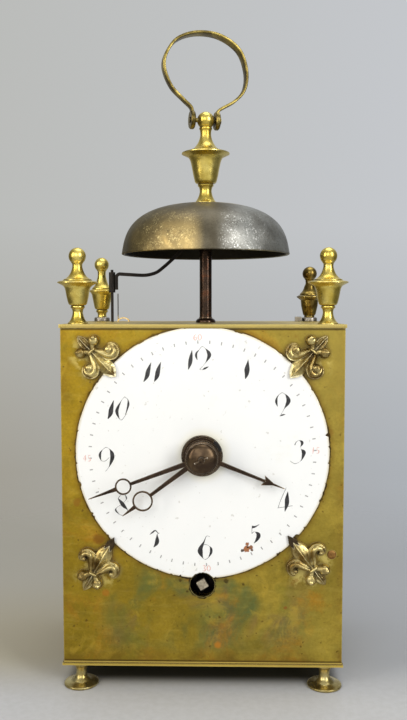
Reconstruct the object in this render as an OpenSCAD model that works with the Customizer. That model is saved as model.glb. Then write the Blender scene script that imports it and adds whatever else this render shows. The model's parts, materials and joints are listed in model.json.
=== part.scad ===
// Travelling alarm clock of the capucine kind: a brass case on four turned feet, a bell and a folding
// handle on top, a convex enamel dial, and a spring-driven movement with a short pendulum inside.
// Frame: +X right, +Y to the back, +Z up. The origin is on the floor, in the middle of the whole clock.

/* [Case] */
// Width of the case across the front plate
case_w = 130; // [128:1:140]
// Depth of the case from the front plate to the back of the rear door
case_d = 84.7; // [84:0.1:95]
// Height of the front plate
panel_h = 156.8; // [156:0.1:170]
// Thickness of the front plate
panel_t = 1.5; // [1:0.1:2]
// Thickness of the base plate
base_t = 1.3; // [1:0.1:3]
// Thickness of the top plate
top_t = 1.6; // [1.2:0.1:3]
// How far the base and top plates stand out past the case
overhang = 0.6; // [0:0.1:1.5]
// Thickness of the door sheets
door_t = 1.2; // [0.8:0.1:1.8]
// Gap round each door
door_gap = 0.3; // [0.2:0.05:0.6]
// Width of a corner post, measured from the case's side
post_w = 10.5; // [9.5:0.5:12]
// Depth of a front corner post
front_post_d = 5.6; // [5:0.1:7]
// Depth of a back corner post
back_post_d = 7.3; // [6.5:0.1:9]

/* [Feet and finials] */
// Height of a foot
foot_h = 10.8; // [9:0.1:14]
// Radius of a foot's disc
foot_r = 8.1; // [7:0.1:10]
// Distance of a foot's and finial's axis from the case's side
corner_in_x = 7.5; // [7:0.1:8]
// Distance of a foot's and finial's axis from the front and the back
corner_in_y = 4.3; // [4:0.1:4.6]
// Radius of the threaded studs under the finials and over the feet
stud_r = 1.5; // [1:0.1:1.8]
// Depth of a stud in its post
stud_depth = 6; // [4:0.5:9]
// Height of a front finial
finial_h = 35.1; // [30:0.1:40]
// Radius of a front finial's flange
finial_flange_r = 9.2; // [8:0.1:10]
// Radius of a back finial's flange
back_flange_r = 7; // [6.5:0.1:8]
// Height of the steel collars under the back finials
collar_h = 2.2; // [1.5:0.1:3]
// Radius of the steel collars
collar_r = 4.3; // [3.5:0.1:4.6]
// How much of its stem the shorter back finial lacks
short_stem = 5; // [3:0.1:6]

/* [Bell and handle] */
// Radius of the bell's rim
bell_r = 42.2; // [40:0.1:44]
// Height of the bell
bell_h = 25.5; // [23:0.1:28]
// Thickness of the bell's wall
bell_wall = 1.5; // [1.2:0.1:2]
// Height of the bell's rim over the top plate
bell_lift = 34; // [33:0.1:38]
// Depth of the bell's axis behind the front plate
bell_y = 42.3; // [41:0.1:44]
// Radius of the bell post
post_r = 3.1; // [2.6:0.1:3.5]
// Height of the bell finial
bell_finial_h = 45.5; // [42:0.1:50]
// Radius of the bell finial's flange
bell_flange_r = 12; // [10:0.1:13]
// Radius of the ball that the handle turns on
ball_r = 4.3; // [4:0.1:4.6]
// Height of the handle's loop over its pivot
loop_h = 42.4; // [40:0.1:46]
// Half the width of the handle's loop
loop_r = 21.6; // [20:0.1:24]
// Thickness of the handle's strip
strip_t = 1.4; // [1.2:0.1:2.2]
// Width of the handle's strip at the top of its loop
strip_w = 6; // [5:0.1:8]
// Width of the handle's strip at its ears
strip_end_w = 3.4; // [2.5:0.1:4.5]
// Radius of the handle's ears
ear_r = 4.5; // [4:0.1:5.2]
// Thickness of the handle's ears
ear_t = 2.2; // [1.8:0.1:3]
// Turn of the handle's pin from the line across the clock, seen from above
handle_turn = 15; // [0:1:45]
// Radius of the handle's pin
handle_pin_r = 1.1; // [0.8:0.1:1.4]

/* [Dial and hands] */
// Radius of the dial
dial_r = 58.4; // [56:0.1:58.6]
// Thickness of the dial at its edge
dial_edge = 1.3; // [1:0.1:1.6]
// How far the middle of the dial is domed forward
dial_dome = 3.3; // [2.5:0.1:3.6]
// Height of the hands' axis over the base plate
centre_z = 99.1; // [98.9:0.1:99.9]
// Height of the winding arbor's axis over the base plate
wind_z = 37.4; // [36.9:0.1:37.9]
// Radius of the winding hole
wind_hole_r = 5.7; // [5:0.1:6]
// Width across the flats of the winding square
wind_square = 4.2; // [3.8:0.1:5]
// Turn of the winding square from upright
wind_turn = 31; // [0:1:89]
// Length of the minute hand
minute_len = 54.2; // [50:0.1:56]
// Length of the hour hand
hour_len = 44.9; // [40:0.1:48]
// Length of the alarm hand
alarm_len = 40.1; // [36:0.1:45]
// Direction of the minute hand, clockwise from the top
minute_dir = 249.7; // [0:0.1:359.9]
// Direction of the hour hand, clockwise from the top
hour_dir = 233; // [0:0.1:359.9]
// Direction of the alarm hand, clockwise from the top
alarm_dir = 111.5; // [0:0.1:359.9]
// Thickness of the hands
hand_t = 0.8; // [0.5:0.1:1]
// Radius of the alarm disc
alarm_disc_r = 9.4; // [8:0.1:10.5]
// Radius of the domed collet in front of the hands
collet_r = 7.75; // [7:0.05:8.2]

/* [Movement] */
// Radius of the centre arbor
arbor_r = 1.2; // [1:0.05:1.3]
// Wall of the pipes on the centre arbor
pipe_wall = 0.75; // [0.6:0.05:0.9]
// Radial clearance of running fits
run_gap = 0.05; // [0.03:0.01:0.08]
// Thickness of the movement plates
plate_t = 2; // [1.5:0.1:2.5]
// Distance of the movement's front plate behind the case's front plate
motion_gap = 12.5; // [12.5:0.1:13.5]
// Distance between the movement plates
plate_gap = 26; // [26:0.1:28]
// Radius of the movement pillars
pillar_r = 3; // [2.5:0.1:3.5]
// Radius of the arbors in the train
train_arbor_r = 0.7; // [0.6:0.05:0.7]
// Radius of the pivots in the plates
pivot_r = 0.5; // [0.4:0.05:0.55]
// Thickness of the wheels
wheel_t = 1.4; // [1:0.1:1.8]
// Radius of the going barrel's drum
drum_r = 23.5; // [22:0.5:24]
// Length of the pendulum from its axis to the middle of its bob
pendulum_len = 113; // [105:1:115]
// Radius of the pendulum bob
bob_r = 13; // [10:0.5:14]
// Height of the pendulum's axis over the base plate
anchor_z = 145.9; // [145.4:0.1:146.4]

/* [Hammer] */
// Distance of the hammer's arbor from the case's side
hammer_in = 15.3; // [15:0.1:16.5]
// Depth of the hammer's arbor behind the front plate
hammer_y = 65; // [64:0.1:66]
// Radius of the hammer's arbor
hammer_arbor_r = 0.75; // [0.6:0.05:0.9]
// Radius of the hammer's head
head_r = 4.4; // [3.5:0.1:5]
// Gap between the resting head and the bell's wall
head_gap = 0.8; // [0.7:0.1:1.2]

/* [Hidden] */

brass = "#a8913a";
old_brass = "#8f7b33";
steel = "#8c8c90";
dark_steel = "#3a312b";
bell_metal = "#6b5a40";
enamel = "#f4f3ee";

// Fits and small sizes
slip = 0.05;
pin_gap = 0.03;
seat_gap = 0.3;
eps = 0.01;

// Places worked out from the driving dimensions, in the case's own frame: y = 0 on the front plate
half_w = case_w / 2;
floor_z = foot_h + base_t;
ceil_z = floor_z + panel_h;
top_z = ceil_z + top_t;
corner_x = half_w - corner_in_x;
post_in_x = half_w - post_w;
rod_r = 0.9;
rod_pin_r = 0.65;
rod_pin_len = 1;
front_post_out = half_w - 2 * rod_r - seat_gap;
back_post_y = case_d - back_post_d;
side_rod_x = half_w - rod_r;
side_rod_y = panel_t + seat_gap + rod_r;
rear_rod_x = post_in_x - seat_gap - rod_r;
rear_rod_y = case_d - rod_r;
door_lift = seat_gap;
door_h = panel_h - 2 * door_lift;
knob_len = 5;
knob_rivet_r = 0.9;

// Stack of the hands in front of the dial, as distances in front of the front plate
pipe1_r = arbor_r + run_gap + pipe_wall;
pipe2_r = pipe1_r + run_gap + pipe_wall;
pipe3_r = pipe2_r + run_gap + pipe_wall;
disc_back = dial_edge + dial_dome + 0.6;
disc_t = 1.2;
alarm_hand_f = disc_back + disc_t;
hour_back = alarm_hand_f + hand_t + 0.4;
hour_boss_t = 2.2;
minute_back = hour_back + hour_boss_t + 0.5;
minute_boss_t = 2;
collet_back = minute_back + minute_boss_t + 0.2;
collet_t = 4;
hand_pin_r = 0.45;
hand_pin_turn = 25;
arbor_front = collet_back + collet_t + 2 * hand_pin_r + 0.5;
pin_front = collet_back + collet_t + hand_pin_r + pin_gap;

// The clock reaches from the centre arbor's end to the rear door's knob: the origin is in the middle
front_y = (arbor_front - case_d - knob_len) / 2;

// Movement layers
mf_y = panel_t + motion_gap;
mb_y = mf_y + plate_t + plate_gap;
inner_y = mf_y + plate_t;
plate_left = half_w - hammer_in + 6.5;
plate_right = 38;
plate_low = floor_z + 4;
plate_high = ceil_z - 4;
hammer_x = -(half_w - hammer_in);
pillar_xs = [-(plate_left - 6), plate_right - 5.5];
pillar_zs = [plate_low + 6, plate_high - 6];

// The heights of the axes and the pendulum's length are given for a front plate 156.8 high, and follow it
rise = panel_h / 156.8;
hands_z = floor_z + centre_z * rise;
barrel_z = floor_z + wind_z * rise;
pallet_z = floor_z + anchor_z * rise;
swing_len = pendulum_len * rise;
escape_drop = 14;
escape_z = pallet_z - escape_drop;

// Going train: teeth, modules and the arbors' places. The axes of the barrel and the hands stand 61.7
// modules of the great wheel apart, and the modules of the upper wheels follow the escape wheel's height
low_share = (hands_z - barrel_z) / 61.7;
high_share = (escape_z - hands_z) / 32.8;
great_n = 60;
great_m = 1 * low_share;
inter_pn = 8;
inter_n = 60;
inter_m = 0.85 * low_share;
centre_pn = 8;
centre_n = 72;
centre_m = 0.55 * high_share;
third_pn = 6;
third_n = 66;
third_m = 0.45 * high_share;
escape_pn = 6;
escape_n = 40;
escape_r = 10;
barrel_p = [0, barrel_z];
centre_p = [0, hands_z];
escape_p = [0, escape_z];
inter_p = apex(barrel_p, centre_p,
    (great_n + inter_pn) * great_m / 2, (inter_n + centre_pn) * inter_m / 2);
third_p = apex(centre_p, escape_p,
    (centre_n + third_pn) * centre_m / 2, (third_n + escape_pn) * third_m / 2);
anchor_p = [0, pallet_z];

// Motion work
cannon_n = 12;
minute_n = 36;
motion_m = 0.5;
minute_pn = 8;
hour_n = 32;
hour_m = 0.6;
motion_d = (cannon_n + minute_n) * motion_m / 2;
motion_a = 210;
minute_p = centre_p + motion_d * [cos(motion_a), sin(motion_a)];

// Alarm work
crown_up = 127.9;
crown_p = [hammer_x, floor_z + crown_up * rise];
crown_pn = 6;
alarm_n = 48;
alarm_m = 0.7;
alarm_d = (alarm_n + crown_pn) * alarm_m / 2;
alarm_a = -52;
alarm_p = crown_p + alarm_d * [cos(alarm_a), sin(alarm_a)];
crown_r = 7;
crown_n = 15;
crown_tip_y = hammer_y - 2.1;

// Layers along y, each the front face of a wheel
great_y = inner_y + 1.5;
great_t = 2;
drum_y = great_y + great_t;
drum_len = plate_gap - 9;
cap_t = 1;
inter_y = drum_y + drum_len + 2.5;
centre_wheel_y = inner_y + 14;
third_wheel_y = inner_y + 8;
escape_y = inner_y + 22;
ratchet_y = mf_y - 2.6;
ratchet_t = 2;
ratchet_r = 9;
ratchet_n = 24;

// Hammer geometry: the arm points so that the head meets the bell's wall square on
bell_rim_z = top_z + bell_lift;
bell_top_z = bell_rim_z + bell_h;
head_z = bell_rim_z + 9.5;
head_h = 5;
bell_x = 0.8;
bell_from_hammer = [bell_x - hammer_x, bell_y - hammer_y];
reach = norm(bell_from_hammer);
strike_r = bell_inside(head_z - bell_rim_z + head_h) - head_r - head_gap;
arm_dir = asin(strike_r / reach) + atan2(bell_from_hammer[1], bell_from_hammer[0]);
arm_len = sqrt(reach * reach - strike_r * strike_r);
pivot_z = bell_top_z + bell_finial_h - ball_r;

// Meeting point of two centre distances d1 from p and d2 from q, on the right of the line p to q
function apex(p, q, d1, d2) =
    let (v = q - p, d = norm(v), a = (d1 * d1 - d2 * d2 + d * d) / (2 * d), h = sqrt(d1 * d1 - a * a))
    p + v * a / d + [v[1], -v[0]] * h / d;

// Direction from p to q in degrees
function bearing(p, q) = atan2(q[1] - p[1], q[0] - p[0]);

// Turn of a gear of n2 teeth that meets a gear of n1 teeth, turned by o1, in the direction theta
function mesh_turn(theta, o1, n1, n2) = theta + 180 + (theta - o1) * n1 / n2 + 180 / n2;

// Outer radius of the bell at a height over its rim
function bell_radius(h) =
    (bell_r - 0.9) * pow(1 - pow(max(h, 0) / bell_h, 2.55), 1 / 2.55) + 0.9 * pow(max(0, 1 - h / 12), 2);

// Inner radius of the bell at a height over its rim
function bell_inside(h) = bell_radius(h * bell_h / (bell_h - bell_wall)) * (bell_r - bell_wall) / bell_r;

// Points on a smooth curve through the given points, s steps a stretch
function spline(p, s) = [for (i = [0:len(p) - 2], k = [0:s - 1]) catmull(p, i, k / s), p[len(p) - 1]];
function catmull(p, i, t) =
    let (a = p[max(i - 1, 0)], b = p[i], c = p[i + 1], d = p[min(i + 2, len(p) - 1)])
    cubic(a, b, c, d, t);
function cubic(a, b, c, d, t) =
    0.5 * (2 * b + (c - a) * t + (2 * a - 5 * b + 4 * c - d) * t * t + (3 * b - a - 3 * c + d) * t * t * t);

// Smooth closed curve through the given points, s steps a stretch
function loop(p, s) =
    let (n = len(p))
    [for (i = [0:n - 1], k = [0:s - 1])
        cubic(p[(i + n - 1) % n], p[i], p[(i + 1) % n], p[(i + 2) % n], k / s)];

// Points on an arc round c
function arc(c, r, a0, a1, n) = [for (i = [0:n]) let (a = a0 + (a1 - a0) * i / n) c + r * [cos(a), sin(a)]];

// Outline of a band of thickness t along the points p
function band(p, t) =
    let (n = len(p),
        side = [for (i = [0:n - 1])
            let (v = p[min(i + 1, n - 1)] - p[max(i - 1, 0)]) [-v[1], v[0]] / norm(v)])
    concat([for (i = [0:n - 1]) p[i] + side[i] * t / 2],
        [for (i = [n - 1:-1:0]) p[i] - side[i] * t / 2]);

// Outline of a gear with straight-sided teeth; root and tip are the tooth's widths as shares of the pitch
function gear(n, m, add, ded, root, tip) =
    [for (i = [0:n - 1], k = [0:3])
        let (r = (k == 0 || k == 3) ? m * (n / 2 - ded) : m * (n / 2 + add),
            w = ((k == 0 || k == 3) ? root : tip) * (k < 2 ? -1 : 1) / 2,
            a = 360 * (i + w) / n)
        r * [cos(a), sin(a)]];
function wheel_teeth(n, m) = gear(n, m, 0.9, 1.2, 0.56, 0.26);
function pinion_teeth(n, m) = gear(n, m, 0.75, 1.35, 0.36, 0.24);

// Puts children of the case's own frame into the clock's frame
module at_case() { translate([0, front_y, 0]) children(); }

// Turns a flat shape into the front view: it reaches from y back to y - its height, x right and y up
module facing(p, y) { translate([p[0], y, p[1]]) rotate([90, 0, 0]) children(); }

// Round rod along y from y0 to y1
module rod_y(p, y0, y1, r) { facing(p, y1) cylinder(h = y1 - y0, r = r, $fn = 48); }

// Round rod along x from x0 to x1
module rod_x(x0, x1, y, z, r) {
    translate([x0, y, z]) rotate([0, 90, 0]) cylinder(h = x1 - x0, r = r, $fn = 48);
}

// Stands children on the four corners of the case
module corners(zs, front = true, back = true) {
    for (sx = [-1, 1], yy = concat(front ? [corner_in_y] : [], back ? [case_d - corner_in_y] : []))
        translate([sx * corner_x, yy, zs]) children();
}

// A flat wheel with a rim, spokes and a hub, turned by turn degrees; its front face is at y
module toothed_wheel(p, y, t, n, m, turn, bore, hub, spokes, rim) {
    root = m * (n / 2 - 1.2);
    facing(p, y + t) rotate(turn) linear_extrude(t) difference() {
        polygon(wheel_teeth(n, m));
        circle(r = bore, $fn = 48);
        if (spokes > 0) difference() {
            circle(r = root - rim, $fn = 96);
            circle(r = hub, $fn = 48);
            for (i = [0:spokes - 1]) rotate(360 * i / spokes) translate([0, -0.9]) square([root, 1.8]);
        }
    }
}

// A pinion cut on its arbor, from y to y + t
module pinion(p, y, t, n, m, turn) {
    facing(p, y + t) rotate(turn) linear_extrude(t) polygon(pinion_teeth(n, m));
}

// A train arbor between the movement plates, with its two pivots
module train_arbor(p) {
    rod_y(p, inner_y + 0.2, mb_y - 0.2, train_arbor_r);
    rod_y(p, mf_y + 0.3, mb_y + plate_t - 0.3, pivot_r);
}

// Case
module sheet(z, t) {
    translate([-half_w - overhang, -overhang, z]) cube([case_w + 2 * overhang, case_d + 2 * overhang, t]);
}

module door_pin_holes(z, t) {
    for (sx = [-1, 1]) translate([sx * side_rod_x, side_rod_y, z - eps])
        cylinder(h = t + 2 * eps, r = rod_pin_r + slip, $fn = 32);
    translate([-rear_rod_x, rear_rod_y, z - eps]) cylinder(h = t + 2 * eps, r = rod_pin_r + slip, $fn = 32);
}

module base_plate() {
    color(brass) at_case() difference() {
        sheet(foot_h, base_t);
        corners(foot_h - eps) cylinder(h = base_t + 2 * eps, r = stud_r + slip, $fn = 32);
        door_pin_holes(foot_h, base_t);
    }
}

module top_plate() {
    color(brass) at_case() difference() {
        sheet(ceil_z, top_t);
        corners(ceil_z - eps) cylinder(h = top_t + 2 * eps, r = stud_r + slip, $fn = 32);
        door_pin_holes(ceil_z, top_t);
        translate([bell_x, bell_y, ceil_z - eps])
            cylinder(h = top_t + 2 * eps, r = post_tail_r + slip, $fn = 48);
        translate([hammer_x, hammer_y, ceil_z - eps])
            cylinder(h = top_t + 2 * eps, r = hammer_arbor_r + run_gap, $fn = 32);
        for (p = spring_feet) translate([p[0], p[1], ceil_z - eps])
            cylinder(h = top_t + 2 * eps, r = spring_r + 2 * slip, $fn = 24);
        translate([lug_p[0], lug_p[1], ceil_z - eps])
            cylinder(h = top_t + 2 * eps, r = lug_r + slip, $fn = 32);
    }
}

module front_plate() {
    color(brass) at_case() difference() {
        translate([-half_w, 0, floor_z]) cube([case_w, panel_t, panel_h]);
        rod_y(centre_p, -eps, panel_t + eps, pipe3_r + run_gap);
        rod_y(barrel_p, -eps, panel_t + eps, wind_hole_r);
        for (a = dial_foot_angles) rod_y(dial_foot(a), -eps, panel_t + eps, dial_foot_r + slip);
        for (p = pillar_places()) rod_y(p, panel_t - 0.8, panel_t + eps, pillar_tail_r + slip);
    }
}

// The front posts are square bars behind the front plate; the back posts fill the case's back corners
module corner_posts() {
    color(old_brass) at_case() difference() {
        for (sx = [-1, 1]) {
            translate([sx > 0 ? post_in_x : -front_post_out, panel_t, floor_z])
                cube([front_post_out - post_in_x, front_post_d, panel_h]);
            translate([sx > 0 ? post_in_x : -half_w, back_post_y, floor_z])
                cube([post_w, back_post_d, panel_h]);
        }
        corners(floor_z - eps) cylinder(h = stud_depth + 0.5, r = stud_r + slip, $fn = 32);
        corners(ceil_z - stud_depth - 0.5) cylinder(h = stud_depth + 0.5 + eps, r = stud_r + slip, $fn = 32);
    }
}

module feet() {
    color(brass) at_case() corners(0) {
        rotate_extrude($fn = 64) polygon([[0, 0], [foot_r - 0.2, 0], [foot_r, 0.2], [foot_r, 0.9],
            [foot_r - 0.5, 1.25], [foot_r - 3.2, 1.9], [4, 2.7], [3.1, 3.6], [2.6, 4.6], [2.4, 5.6],
            [2.45, 6.8], [2.7, 7.9], [3.1, 8.8], [3.5, foot_h - 1.5], [3.7, foot_h - 1],
            [3.7, foot_h], [0, foot_h]]);
        translate([0, 0, foot_h - eps]) cylinder(h = base_t + stud_depth, r = stud_r, $fn = 32);
    }
}

// A turned finial: the profile's foot or waist, its ball on top, and the stud below
module turned_finial(profile, h, cut = 0) {
    neck_ball_r = 3.95;
    translate([0, 0, -cut]) rotate_extrude($fn = 64) intersection() {
        translate([0, cut]) square([finial_flange_r + 2, h]);
        union() {
            polygon(profile);
            translate([0, h - neck_ball_r]) intersection() {
                circle(r = neck_ball_r, $fn = 48);
                translate([0, -5]) square(10);
            }
        }
    }
}

// Front finials stand on a wide foot and carry a broad flange
function front_profile(f, h) = [[0, 0], [4.6, 0], [4.6, 0.7], [3.9, 1.3], [3.1, 2.6], [2.6, 4], [2.36, 5.5],
    [2.5, 6.6], [2.8, 7.2], [3.2, 7.5], [3.3, 7.9], [3.2, 8.3], [2.9, 8.6], [3.7, 8.8],
    [4.2, 9.4], [4.5, 10.3], [4.85, 11.7], [5.2, 13.4], [5.5, 15.2], [5.9, 16.6],
    [6.6, 17.6], [f - 0.9, 18.5], [f, 19], [f, 19.3], [f - 0.8, 19.7],
    [6.6, 20], [6.4, 20.5], [5.3, 21], [4.1, 22.1], [3.2, 23.5], [2.6, 25], [2.3, 26.4],
    [2.35, h - 7.5], [2.6, h - 7.1], [2.85, h - 6.7], [2.85, h - 6.3], [2.6, h - 6], [0, h - 6]];

// Back finials are slimmer, with a longer neck over the flange. The cup starts at height c over the profile's
// foot, k is its width as a share of the wider one's, and u is how much higher it reaches
function back_profile(f, h, c, k, u) = [[0, 0], [2.6, 0], [2.3, 1.2], [2.6, 2.5], [3.1, 2.9], [3.3, 3.4],
    [3.1, 3.9], [2.8, 4.3], [2.8, c - 0.2], [3.7 * k, c], [4.1 * k, 0.9 * c + 1.3], [4.5 * k, 0.7 * c + 4],
    [4.9 * k, 0.4 * c + 7.4], [5.3 * k, 0.2 * c + 10.3], [5.6 * k, 12.6 + u], [f - 0.6, 13.8 + u],
    [f, 14.3 + u], [f, 14.7 + u], [f - 0.8, 15.1 + u], [5.4, 15.5 + u], [5.2, 16.2 + u], [4.2, 17.2 + u],
    [3.4, 18.6 + u], [2.8, 20.4 + u], [2.3, 22.4 + u / 2], [2.2, 24], [2.3, h - 7.5], [2.6, h - 7.1],
    [2.8, h - 6.7], [2.8, h - 6.3], [2.6, h - 6], [0, h - 6]];

// A back finial stands on its collar, so its stud is longer by the collar's height
module back_finial(sx, cut, c, k, u) {
    h = finial_h - collar_h;
    color(brass) at_case() translate([sx * corner_x, case_d - corner_in_y, 0]) {
        translate([0, 0, top_z + collar_h]) turned_finial(back_profile(back_flange_r, h, c, k, u), h, cut);
        translate([0, 0, ceil_z - stud_depth])
            cylinder(h = stud_depth + top_t + collar_h + eps, r = stud_r, $fn = 32);
    }
}

module front_finial(sx) {
    color(brass) at_case() translate([sx * corner_x, corner_in_y, 0]) {
        translate([0, 0, top_z]) turned_finial(front_profile(finial_flange_r, finial_h), finial_h);
        translate([0, 0, ceil_z - stud_depth]) cylinder(h = stud_depth + top_t + eps, r = stud_r, $fn = 32);
    }
}

module finial_front_left() { front_finial(-1); }
module finial_front_right() { front_finial(1); }
module finial_back_left() { back_finial(-1, 0, 4.5, 1, 0); }
module finial_back_right() { back_finial(1, short_stem, short_stem + 1.2, 0.86, 1.8); }

module finial_collars() {
    color(steel) at_case() corners(top_z, front = false) difference() {
        rotate_extrude($fn = 48) polygon([[0, 0], [collar_r, 0], [collar_r, collar_h - 0.5],
            [collar_r - 0.5, collar_h], [0, collar_h]]);
        translate([0, 0, -eps]) cylinder(h = collar_h + 2 * eps, r = stud_r + slip, $fn = 32);
    }
}

// A small block riveted to the top plate beside the right back collar
lug_r = 0.8;
lug_w = 3.6;
lug_d = 3.4;
lug_h = 2.6;
lug_p = [corner_x - collar_r - seat_gap - lug_w / 2, case_d - corner_in_y - 3];
module top_lug() {
    color(old_brass) at_case() translate([lug_p[0], lug_p[1], top_z]) {
        translate([-lug_w / 2, -lug_d / 2, 0]) cube([lug_w, lug_d, lug_h]);
        translate([0, 0, -top_t]) cylinder(h = top_t + eps, r = lug_r, $fn = 32);
    }
}

// Front
dial_foot_r = 1.1;
dial_top_gap = 0.2;
notch_gap = 0.4;
dial_foot_angles = [30, 150, 250];
dial_foot_in = dial_r - 20;
function dial_foot(a) = centre_p + dial_foot_in * [cos(a), sin(a)];

// Distance of the dial's front face before the front plate at radius r
function dial_front(r) = dial_edge + dial_dome * (1 - r * r / (dial_r * dial_r));

// The dial is a thin domed shell that rests on the front plate at its edge; its top is cut straight
// where it meets the top plate, and a round notch at its lower edge clears the winding arbor
module dial() {
    steps = 12;
    shell = 1.1;
    rim = 2.5;
    bore = pipe3_r + run_gap;
    outer = [for (i = [0:steps]) let (r = bore + (dial_r - bore) * i / steps) [r, dial_front(r)]];
    inner = [for (i = [steps:-1:0])
        let (r = bore + (dial_r - rim - bore) * i / steps) [r, dial_front(r) - shell]];
    color(enamel) at_case() difference() {
        union() {
            facing(centre_p, 0) rotate_extrude($fn = 180)
                polygon(concat(outer, [[dial_r, 0], [dial_r - rim, 0]], inner));
            for (a = dial_foot_angles)
                rod_y(dial_foot(a), -dial_front(dial_foot_in) + shell / 2, panel_t + 2, dial_foot_r);
        }
        rod_y(barrel_p, -10, 1, wind_hole_r + notch_gap);
        translate([-dial_r, -10, ceil_z - dial_top_gap]) cube([2 * dial_r, 20, dial_r]);
    }
}

// Corner ornament, a lily with its long petal along +x: the leaves curl outwards on both sides, a band
// holds them at the origin, and a short petal with two curls stands on the other side. A tongue longer
// than the petal reaches over the dial's edge where there is one.
petal_len = 15.8;
leaf_h = 2.7;
petal_h = 3.2;
ridge_h = 4;
ridge_share = 0.22;
leaf_curl = [4, 7.4];
leaf_curl_r = 1.7;
foot_curl = [-3.8, 3.5];
foot_curl_r = 1.6;
curl_rise = 0.4;
waist_band = [1.7, 4.2];
dial_gap = 0.05;
tongue_len = 4;
tongue_w = 1.9;
fleur_in = 14.6;
fleur_in_right = 13.9;
fleur_down = 10.6;
fleur_under_left = 56;
fleur_under_right = 53.2;
fleur_x = half_w - fleur_in;
fleur_high = ceil_z - fleur_down;

// Outline of the long petal, w times as wide as the whole petal
module petal_outline(w) {
    side = spline([[0, 0.8 * w], [3, 1.5 * w], [6, 2.6 * w], [9, 3.1 * w], [12, 2.5 * w], [14.4, 1.2 * w],
        [petal_len, 0]], 4);
    polygon(concat(side, [for (i = [len(side) - 2:-1:0]) [side[i][0], -side[i][1]]]));
}

module side_leaf() {
    linear_extrude(leaf_h) polygon(loop([[0, 0.5], [2.4, 2], [5.6, 3], [8.4, 4.4], [9.4, 6.2], [8.6, 8.4],
        [6.2, 9.3], [4.4, 8.8], [5.8, 7.8], [6.5, 6.6], [5.4, 5], [3.2, 3.6], [0.6, 1.9]], 3));
    translate(leaf_curl) cylinder(h = leaf_h + curl_rise, r = leaf_curl_r, $fn = 32);
    linear_extrude(leaf_h - 0.5) polygon([[0, 0.4], [-2.2, 2.2], [-3.2, 4], [-0.6, 2.4]]);
    translate(foot_curl) cylinder(h = leaf_h - 0.2, r = foot_curl_r, $fn = 32);
}

// The space of the dial and its seat gap, which the ornament leaves free
module dial_space() {
    steps = 12;
    front = [for (i = [steps:-1:0]) let (r = dial_r * i / steps)
        [r + (i == steps ? seat_gap : 0), dial_front(r) + dial_gap]];
    facing(centre_p, 0) rotate_extrude($fn = 180) polygon(concat([[0, -1], [dial_r + seat_gap, -1]], front));
}

module fleur(waist, turn, tongue) {
    color(brass) at_case() difference() {
        facing(waist, 0) rotate(turn) {
            linear_extrude(petal_h) petal_outline(1);
            linear_extrude(ridge_h) petal_outline(ridge_share);
            side_leaf();
            mirror([0, 1, 0]) side_leaf();
            linear_extrude(leaf_h - 0.3)
                polygon([[0, 1.1], [-3, 1.3], [-7, 2.2], [-9.6, 0], [-7, -2.2], [-3, -1.3], [0, -1.1]]);
            translate([-waist_band[0] / 2, -waist_band[1] / 2, 0])
                cube([waist_band[0], waist_band[1], ridge_h]);
            if (tongue > 0) linear_extrude(petal_h)
                polygon([[petal_len - 3, 1.3], [petal_len + 0.3, tongue_w], [petal_len + tongue, 0],
                    [petal_len + 0.3, -tongue_w], [petal_len - 3, -1.3]]);
        }
        dial_space();
    }
}

module fleur_top_left() { fleur([-fleur_x, fleur_high], -46, 0); }
module fleur_top_right() { fleur([fleur_x, fleur_high], -132, 0); }
module fleur_bottom_left() { fleur([-fleur_x, hands_z - fleur_under_left], 60, tongue_len); }
module fleur_bottom_right() {
    fleur([half_w - fleur_in_right, hands_z - fleur_under_right], 127, tongue_len);
}

// Bell
post_tail_r = 2.5;
post_thread_r = 1.8;
post_collar_h = 2.3;
post_collar_r = 5;
nut_h = 2.4;
shoulder_h = 1.4;
shoulder_gap = 0.09;
thread_len = 9;
bell_seat_z = bell_top_z - bell_wall;

module bell_post() {
    color(dark_steel) at_case() translate([bell_x, bell_y, 0]) {
        translate([0, 0, ceil_z - nut_h]) cylinder(h = top_t + nut_h + eps, r = post_tail_r, $fn = 48);
        translate([0, 0, top_z]) cylinder(h = post_collar_h, r = post_collar_r, $fn = 64);
        translate([0, 0, top_z]) cylinder(h = bell_seat_z - shoulder_gap - top_z, r = post_r, $fn = 64);
        translate([0, 0, bell_seat_z - shoulder_h - shoulder_gap])
            cylinder(h = shoulder_h, r = post_r + 1.2, $fn = 48);
        translate([0, 0, bell_seat_z - shoulder_h])
            cylinder(h = shoulder_h + bell_wall + thread_len, r = post_thread_r, $fn = 48);
    }
}

module bell_post_nut() {
    color(steel) at_case() translate([bell_x, bell_y, ceil_z - nut_h]) difference() {
        cylinder(h = nut_h, r = 4.6, $fn = 6);
        translate([0, 0, -eps]) cylinder(h = nut_h + 2 * eps, r = post_tail_r + slip, $fn = 48);
    }
}

module bell() {
    steps = 16;
    hs = [for (i = [0:steps]) bell_h * pow(sin(90 * i / steps), 1.05)];
    outer = [for (h = hs) [bell_radius(h), h]];
    inner = [for (i = [steps:-1:0]) let (h = hs[i] * (bell_h - bell_wall) / bell_h) [bell_inside(h), h]];
    color(bell_metal) at_case() translate([bell_x, bell_y, bell_rim_z]) difference() {
        rotate_extrude($fn = 120) polygon(concat(outer, inner));
        translate([0, 0, bell_h - 4]) cylinder(h = 8, r = post_thread_r + slip, $fn = 48);
    }
}

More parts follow.
